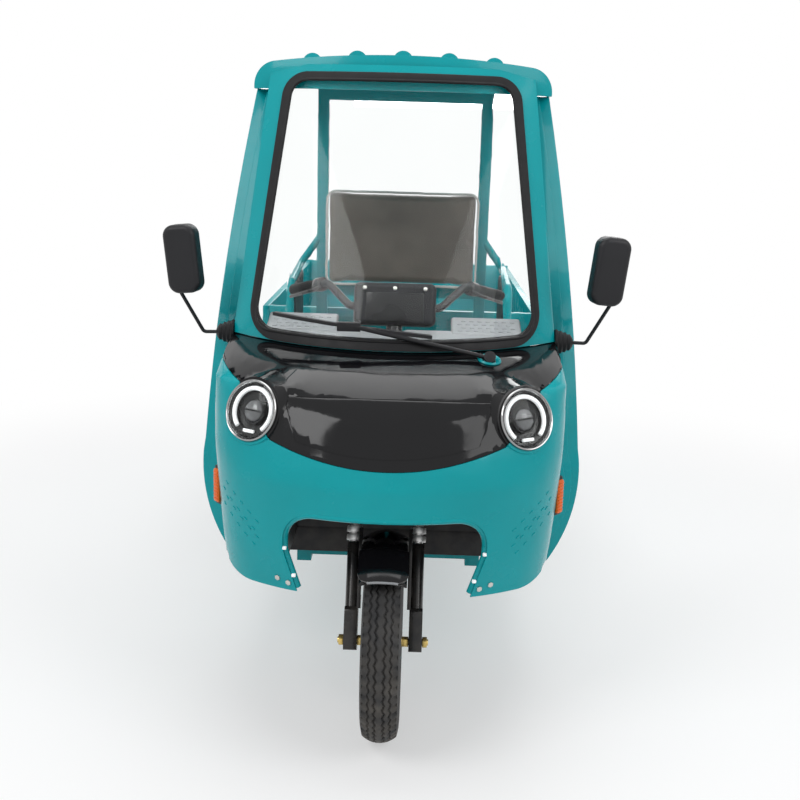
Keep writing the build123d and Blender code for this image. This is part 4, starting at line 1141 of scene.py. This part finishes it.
# %% Side markers
MARKER_X, MARKER_BEHIND, MARKER_Z = 0.440, 0.150, 0.607
MARKER_YAW = 48
TRAY_SIZE, LENS_SIZE, LENS_OUT = (0.032, 0.016, 0.104), (0.024, 0.012, 0.090), 0.009
RIB_SIZE, RIB_OUT, RIB_STEP = (0.020, 0.0024, 0.0040), 0.0060, 0.009


def marker_seat(side):
    spot = Matrix.Translation(at(side * MARKER_X, MARKER_BEHIND, MARKER_Z))
    return spot @ Matrix.Rotation(radians(side * MARKER_YAW), 4, "Z")


def marker_lens():
    lens = soft_box("lens", LENS_SIZE, 0.004, 3)
    rib_places = [Matrix.Translation((0, -RIB_OUT, step * RIB_STEP)) for step in range(-4, 5)]
    return join([lens] + copies(soft_box("rib", RIB_SIZE, 0.001, 2), rib_places))


tray_places = [marker_seat(side) for side, _ in SIDES]
lens_places = [place @ Matrix.Translation((0, -LENS_OUT, 0)) for place in tray_places]
trays = copies(soft_box("tray", TRAY_SIZE, 0.004, 3), tray_places)
lenses = copies(marker_lens(), lens_places)
for (_, label), tray, lens in zip(SIDES, trays, lenses):
    settle(tray, f"side_marker_{label}_tray", "vehicle", "satin_black")
    settle(lens, f"side_marker_{label}_lens", "vehicle", "amber_lens")
    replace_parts(tray, f"side_marker_{label}")
print("markers", len(trays))

# %% [markdown]
# ## Dash pads
# Two grey pads cover the dash beside the steering head. They slope up towards the rider, so
# they show behind the screen's lower edge, and carry rows of raised dashes for grip.

# %% Dash pads
PAD_X, PAD_BEHIND, PAD_Z = 0.250, 0.372, 1.003
PAD_SIZE, PAD_TILT = (0.190, 0.100, 0.022), 18
GRIP_SIZE, GRIP_X, GRIP_Y = (0.013, 0.006, 0.005), 0.022, 0.019


def grip_place(row, column):
    across = -0.072 + GRIP_X * column + GRIP_X / 2 * (row % 2)
    return Matrix.Translation((across, -0.036 + GRIP_Y * row, PAD_SIZE[2] / 2))


def pad_place(side):
    spot = Matrix.Translation(at(side * PAD_X, PAD_BEHIND, PAD_Z))
    return spot @ Matrix.Rotation(radians(PAD_TILT), 4, "X")


grip_places = [grip_place(row, column) for row in range(4) for column in range(7)]
grips = copies(soft_box("grip", GRIP_SIZE, 0.0018, 2), grip_places)
dash_pad = join([soft_box("pad", PAD_SIZE, 0.008, 4)] + grips)
for (_, label), pad in zip(SIDES, copies(dash_pad, [pad_place(side) for side, _ in SIDES])):
    settle(pad, f"dash_pad_{label}", "vehicle", "grey_plastic")
print("dash pads", len(SIDES), "grips each", len(grip_places))

# %% [markdown]
# ## Under the arch: splash panel and the mudguard's nose
# Behind the wheel a black panel closes the gap between the arch liner and the floor. The
# mudguard's nose is flatter than the rest, with rounded corners and a pale lip, so it is laid
# out as a grid of points on the guard's own curve and then given a thickness.

# %% Splash panel
PANEL_SIZE, PANEL_Z, PANEL_AHEAD = (0.570, 0.006, 0.075), 0.394, 0.004
floor_front = on_front("cab_floor", 0.15, 0.385)[0].y
panel_place = Matrix.Translation((0, floor_front - PANEL_AHEAD, PANEL_Z))
settle(soft_box("splash_panel", PANEL_SIZE, 0.002, 2), "splash_panel", "vehicle", "satin_black",
       place=panel_place)
print("splash panel behind the axle by", round(floor_front - AXLE.y, 3))

# %% The mudguard's nose
GUARD_R, GUARD_HALF, GUARD_DROP = 0.2865, 0.061, 0.010
GUARD_FROM, GUARD_TO = radians(14), radians(36.5)
GUARD_CORNER, GUARD_ROUND = 0.024, 0.70
GUARD_WALL, GUARD_LIP_R, LIP_STEPS = 0.004, 0.0030, 16


def guard_point(share_across, share_down):
    """A point of the mudguard's flat-ended nose, with rounded lower corners."""
    late = max(0.0, (share_down - GUARD_ROUND) / (1 - GUARD_ROUND))
    half = GUARD_HALF - GUARD_CORNER * (1 - (1 - late * late) ** 0.5)
    across = half * share_across
    angle = GUARD_FROM + (GUARD_TO - GUARD_FROM) * share_down
    radius = GUARD_R - GUARD_DROP * (across / GUARD_HALF) ** 2
    return at(across, -radius * sin(angle), AXLE.z + radius * cos(angle))


NOSE_COLUMNS, NOSE_ROWS = 16, 20
nose_points = [guard_point(2 * column / NOSE_COLUMNS - 1, row / NOSE_ROWS)
               for row in range(NOSE_ROWS + 1) for column in range(NOSE_COLUMNS + 1)]
row_length = NOSE_COLUMNS + 1
first_corners = [row * row_length + column for row in range(NOSE_ROWS) for column in range(NOSE_COLUMNS)]
nose_faces = [(first, first + 1, first + row_length + 1, first + row_length) for first in first_corners]
guard_nose = mesh_object("guard_nose", nose_points, (), nose_faces)
edit(guard_nose, (bpy.ops.mesh.normals_make_consistent, dict(inside=False)))
modify(guard_nose, "SOLIDIFY", thickness=GUARD_WALL, offset=0)
modify(guard_nose, "BEVEL", width=0.0012, segments=2, limit_method="ANGLE", angle_limit=radians(50))
settle(guard_nose, "guard_nose", body_of("front_mudguard"), "gloss_black")
lip_points = [guard_point(2 * step / LIP_STEPS - 1, 1.0) for step in range(LIP_STEPS + 1)]
settle(tube_along("guard_lip", lip_points, GUARD_LIP_R), "guard_lip", body_of("front_mudguard"),
       "grey_plastic")
print("mudguard nose faces", len(guard_nose.data.polygons))

# %% [markdown]
# ## Mirror boots, wiper cup and the back of the instruments
# A ribbed rubber boot seals each mirror arm where it leaves the pillar, a painted cup rings the
# wiper's pivot, and a screwed panel closes the instrument housing.

# %% Mirror boots and wiper cup
BOOT_X, BOOT_BEHIND, BOOT_Z = 0.444, 0.418, 0.966
BOOT = [(0, 0), (0.034, 0), (0.036, 0.006), (0.031, 0.011), (0.032, 0.018), (0.027, 0.023), (0.028, 0.030),
        (0.022, 0.035), (0.023, 0.042), (0.017, 0.047), (0.010, 0.051), (0, 0.051)]
CUP = [(0.017, 0.000), (0.030, -0.004), (0.031, 0.002), (0.028, 0.006), (0.022, 0.004), (0.017, 0.000)]
CUP_X, CUP_Z = 0.250, 0.957


def boot_place(side):
    spot = Matrix.Translation(at(side * BOOT_X, BOOT_BEHIND, BOOT_Z))
    return spot @ Matrix.Rotation(0 if side > 0 else pi, 4, "Z")


boots = copies(turned("boot", BOOT, 40, axis=(1, 0, 0)), [boot_place(side) for side, _ in SIDES])
for (_, label), boot in zip(SIDES, boots):
    settle(boot, f"mirror_boot_{label}", "vehicle", "soft_rubber")
settle(turned("cup", CUP, 40), "wiper_cup", "vehicle", "teal_paint",
       place=facing(*on_front("nose_panel", CUP_X, CUP_Z)))
print("boots", len(boots), "and a wiper cup")

# %% Back of the instruments
HOUSING_BEHIND, HOUSING_Z = 0.403, 1.059
HOUSING_DEPTH, HOUSING_TILT = 0.092, -12
BACK_SIZE, BACK_DROP = (0.156, 0.006, 0.078), 0.010
SCREW = [(0, 0.0035), (0.003, 0.0034), (0.0052, 0.002), (0.0055, 0), (0, 0)]
SCREW_X, SCREW_UP = (-0.082, 0.0, 0.082), 0.041

housing_turn = Matrix.Rotation(radians(HOUSING_TILT), 4, "X")
housing = Matrix.Translation(at(0, HOUSING_BEHIND, HOUSING_Z)) @ housing_turn
front_of_housing = housing @ Matrix.Translation((0, -HOUSING_DEPTH / 2, 0))
settle(soft_box("panel", BACK_SIZE, 0.0025, 2), "instrument_back", body_of("binnacle"), "satin_black",
       "black_metal", place=front_of_housing @ Matrix.Translation((0, 0, -BACK_DROP)))
screw_turn = Matrix.Rotation(pi / 2, 4, "X")
screw_places = [front_of_housing @ Matrix.Translation((x, 0, SCREW_UP)) @ screw_turn for x in SCREW_X]
screws = copies(turned("screw", SCREW, 20), screw_places)
settle(join(screws), "instrument_screws", body_of("binnacle"), "plated_steel")
print("screws", len(screw_places))

# %% [markdown]
# ## A bead on the screen rubber
# The rubber that grips the glass has a raised bead near its outer edge. Its path is the screen's
# own rounded outline, laid onto the rubber by rays.

# %% Screen bead
SCREEN_LOW = (0.376, 1.000)
SCREEN_HIGH = (0.306, 1.654)
BEAD_R, BEAD_CORNER, BEAD_GROW = 0.0040, 0.052, 0.004


def screen_loop(grow):
    """Points of the screen's rounded outline, grown outwards, as (x, z) pairs."""
    low_x, low_z = SCREEN_LOW[0] + grow, SCREEN_LOW[1] - grow
    high_x, high_z = SCREEN_HIGH[0] + grow, SCREEN_HIGH[1] + grow
    corners = [(low_x, low_z), (high_x, high_z), (-high_x, high_z), (-low_x, low_z)]
    points = []
    for index, corner in enumerate(corners):
        here = Vector(corner)
        before = (Vector(corners[index - 1]) - here).normalized() * BEAD_CORNER
        after = (Vector(corners[(index + 1) % 4]) - here).normalized() * BEAD_CORNER
        for step in range(9):
            share = step / 8
            points.append(here + before * (1 - share) ** 2 + after * share ** 2)
        following = Vector(corners[(index + 1) % 4])
        start, stop = here + after, following - after
        points += [start.lerp(stop, step / 12) for step in range(1, 12)]
    return points


bead_path = [on_front("windscreen_seal", x, z)[0] for x, z in screen_loop(BEAD_GROW)]
settle(tube_along("screen_bead", bead_path, BEAD_R, closed=True), "screen_bead", "vehicle", "soft_rubber")
print("bead points", len(bead_path))

# %% [markdown]
# ## Wheel nuts, tail lamp segments and gate latches
# The back is plainer than the front. Nuts ring each rear hub, each tail lamp has an amber and a
# pale field set into the red one, and a toggle latch holds each end of the tailgate. The nuts
# turn with their wheels and the latches swing with the gate. The front axle's yellow plating
# is given here too.

# %% Wheel nuts
REAR_BEHIND, NUT_RING, NUTS = 2.130, 0.043, 4
NUT_R, NUT_HEIGHT = 0.0085, 0.009


def nut_place(side, label, step):
    angle = radians(45 + 360 / NUTS * step)
    outside = at(side, REAR_BEHIND + NUT_RING * cos(angle), AXLE.z + NUT_RING * sin(angle))
    spot, _ = ray_onto(f"rear_rim_{label}", outside, (-side, 0, 0))
    return facing(spot, Vector((side, 0, 0)))


nut_places = [nut_place(side, label, step) for side, label in SIDES for step in range(NUTS)]
nuts = copies(hex_bolt("nut", NUT_R, NUT_HEIGHT), nut_places)
for index, (_, label) in enumerate(SIDES):
    ring = join(nuts[index * NUTS:(index + 1) * NUTS])
    settle(ring, f"wheel_nuts_{label}", body_of(f"rear_rim_{label}"), "plated_steel")
dress(FINISHED["front_axle"], FINISHES["brass_plate"])
print("wheel nuts", len(nut_places))

# %% Tail lamp fields
TAIL_X, TAIL_Z, FIELD_SUNK = 0.390, 0.520, 0.002
FIELD_SIZE = (0.036, 0.048, 0.008)
FIELDS = (
    # offset, kind, slot, finish
    (0.030, "turn", "amber_lens", "amber_lens"),
    (-0.030, "reverse", "lamp_body", "lamp_halo"),
)


def field_place(x):
    spot, _ = ray_onto("tail_lamps", at(x, 5.0, TAIL_Z), (0, -1, 0))
    return facing(spot - Vector((0, FIELD_SUNK, 0)), Vector((0, 1, 0)))


field_rows = [(side, label, field) for side, label in SIDES for field in FIELDS]
field_places = [field_place(side * (TAIL_X + field[0])) for side, _, field in field_rows]
fields = copies(soft_box("field", FIELD_SIZE, 0.003, 3), field_places)
for piece, (_, label, (_, kind, slot, look)) in zip(fields, field_rows):
    settle(piece, f"tail_{kind}_{label}", body_of("tail_lamps"), slot, look)
print("tail lamp fields", len(fields))

# %% Gate latches
PLATE_SIZE, LEVER_SIZE = (0.034, 0.005, 0.074), (0.016, 0.009, 0.060)
PIVOT = [(0, 0), (0.006, 0), (0.006, 0.013), (0.0045, 0.0145), (0, 0.0145)]
LATCH_IN, LATCH_DOWN, LATCH_OUT = 0.022, 0.050, 0.002


def gate_latch():
    """A plate with a toggle lever on a pivot, about the middle of the plate."""
    lever = soft_box("lever", LEVER_SIZE, 0.0040, 3)
    lever.location = (0, 0.0065, -0.004)
    pivot = turned("pivot", PIVOT, 24)
    pivot.matrix_world = Matrix.Translation((0, 0, 0.022)) @ Matrix.Rotation(-pi / 2, 4, "X")
    return join([soft_box("plate", PLATE_SIZE, 0.0018, 2), lever, pivot])


gate_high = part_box("tailgate")[1]
latch_places = []
for side, _ in SIDES:
    outside = Vector((side * (gate_high.x - LATCH_IN), gate_high.y + 1, gate_high.z - LATCH_DOWN))
    spot, _ = ray_onto("tailgate", outside, (0, -1, 0))
    latch_places.append(Matrix.Translation(spot + Vector((0, LATCH_OUT, 0))))
for (_, label), latch in zip(SIDES, copies(gate_latch(), latch_places)):
    settle(latch, f"gate_latch_{label}", body_of("tailgate"), "plated_steel")
print("gate latches", len(latch_places))
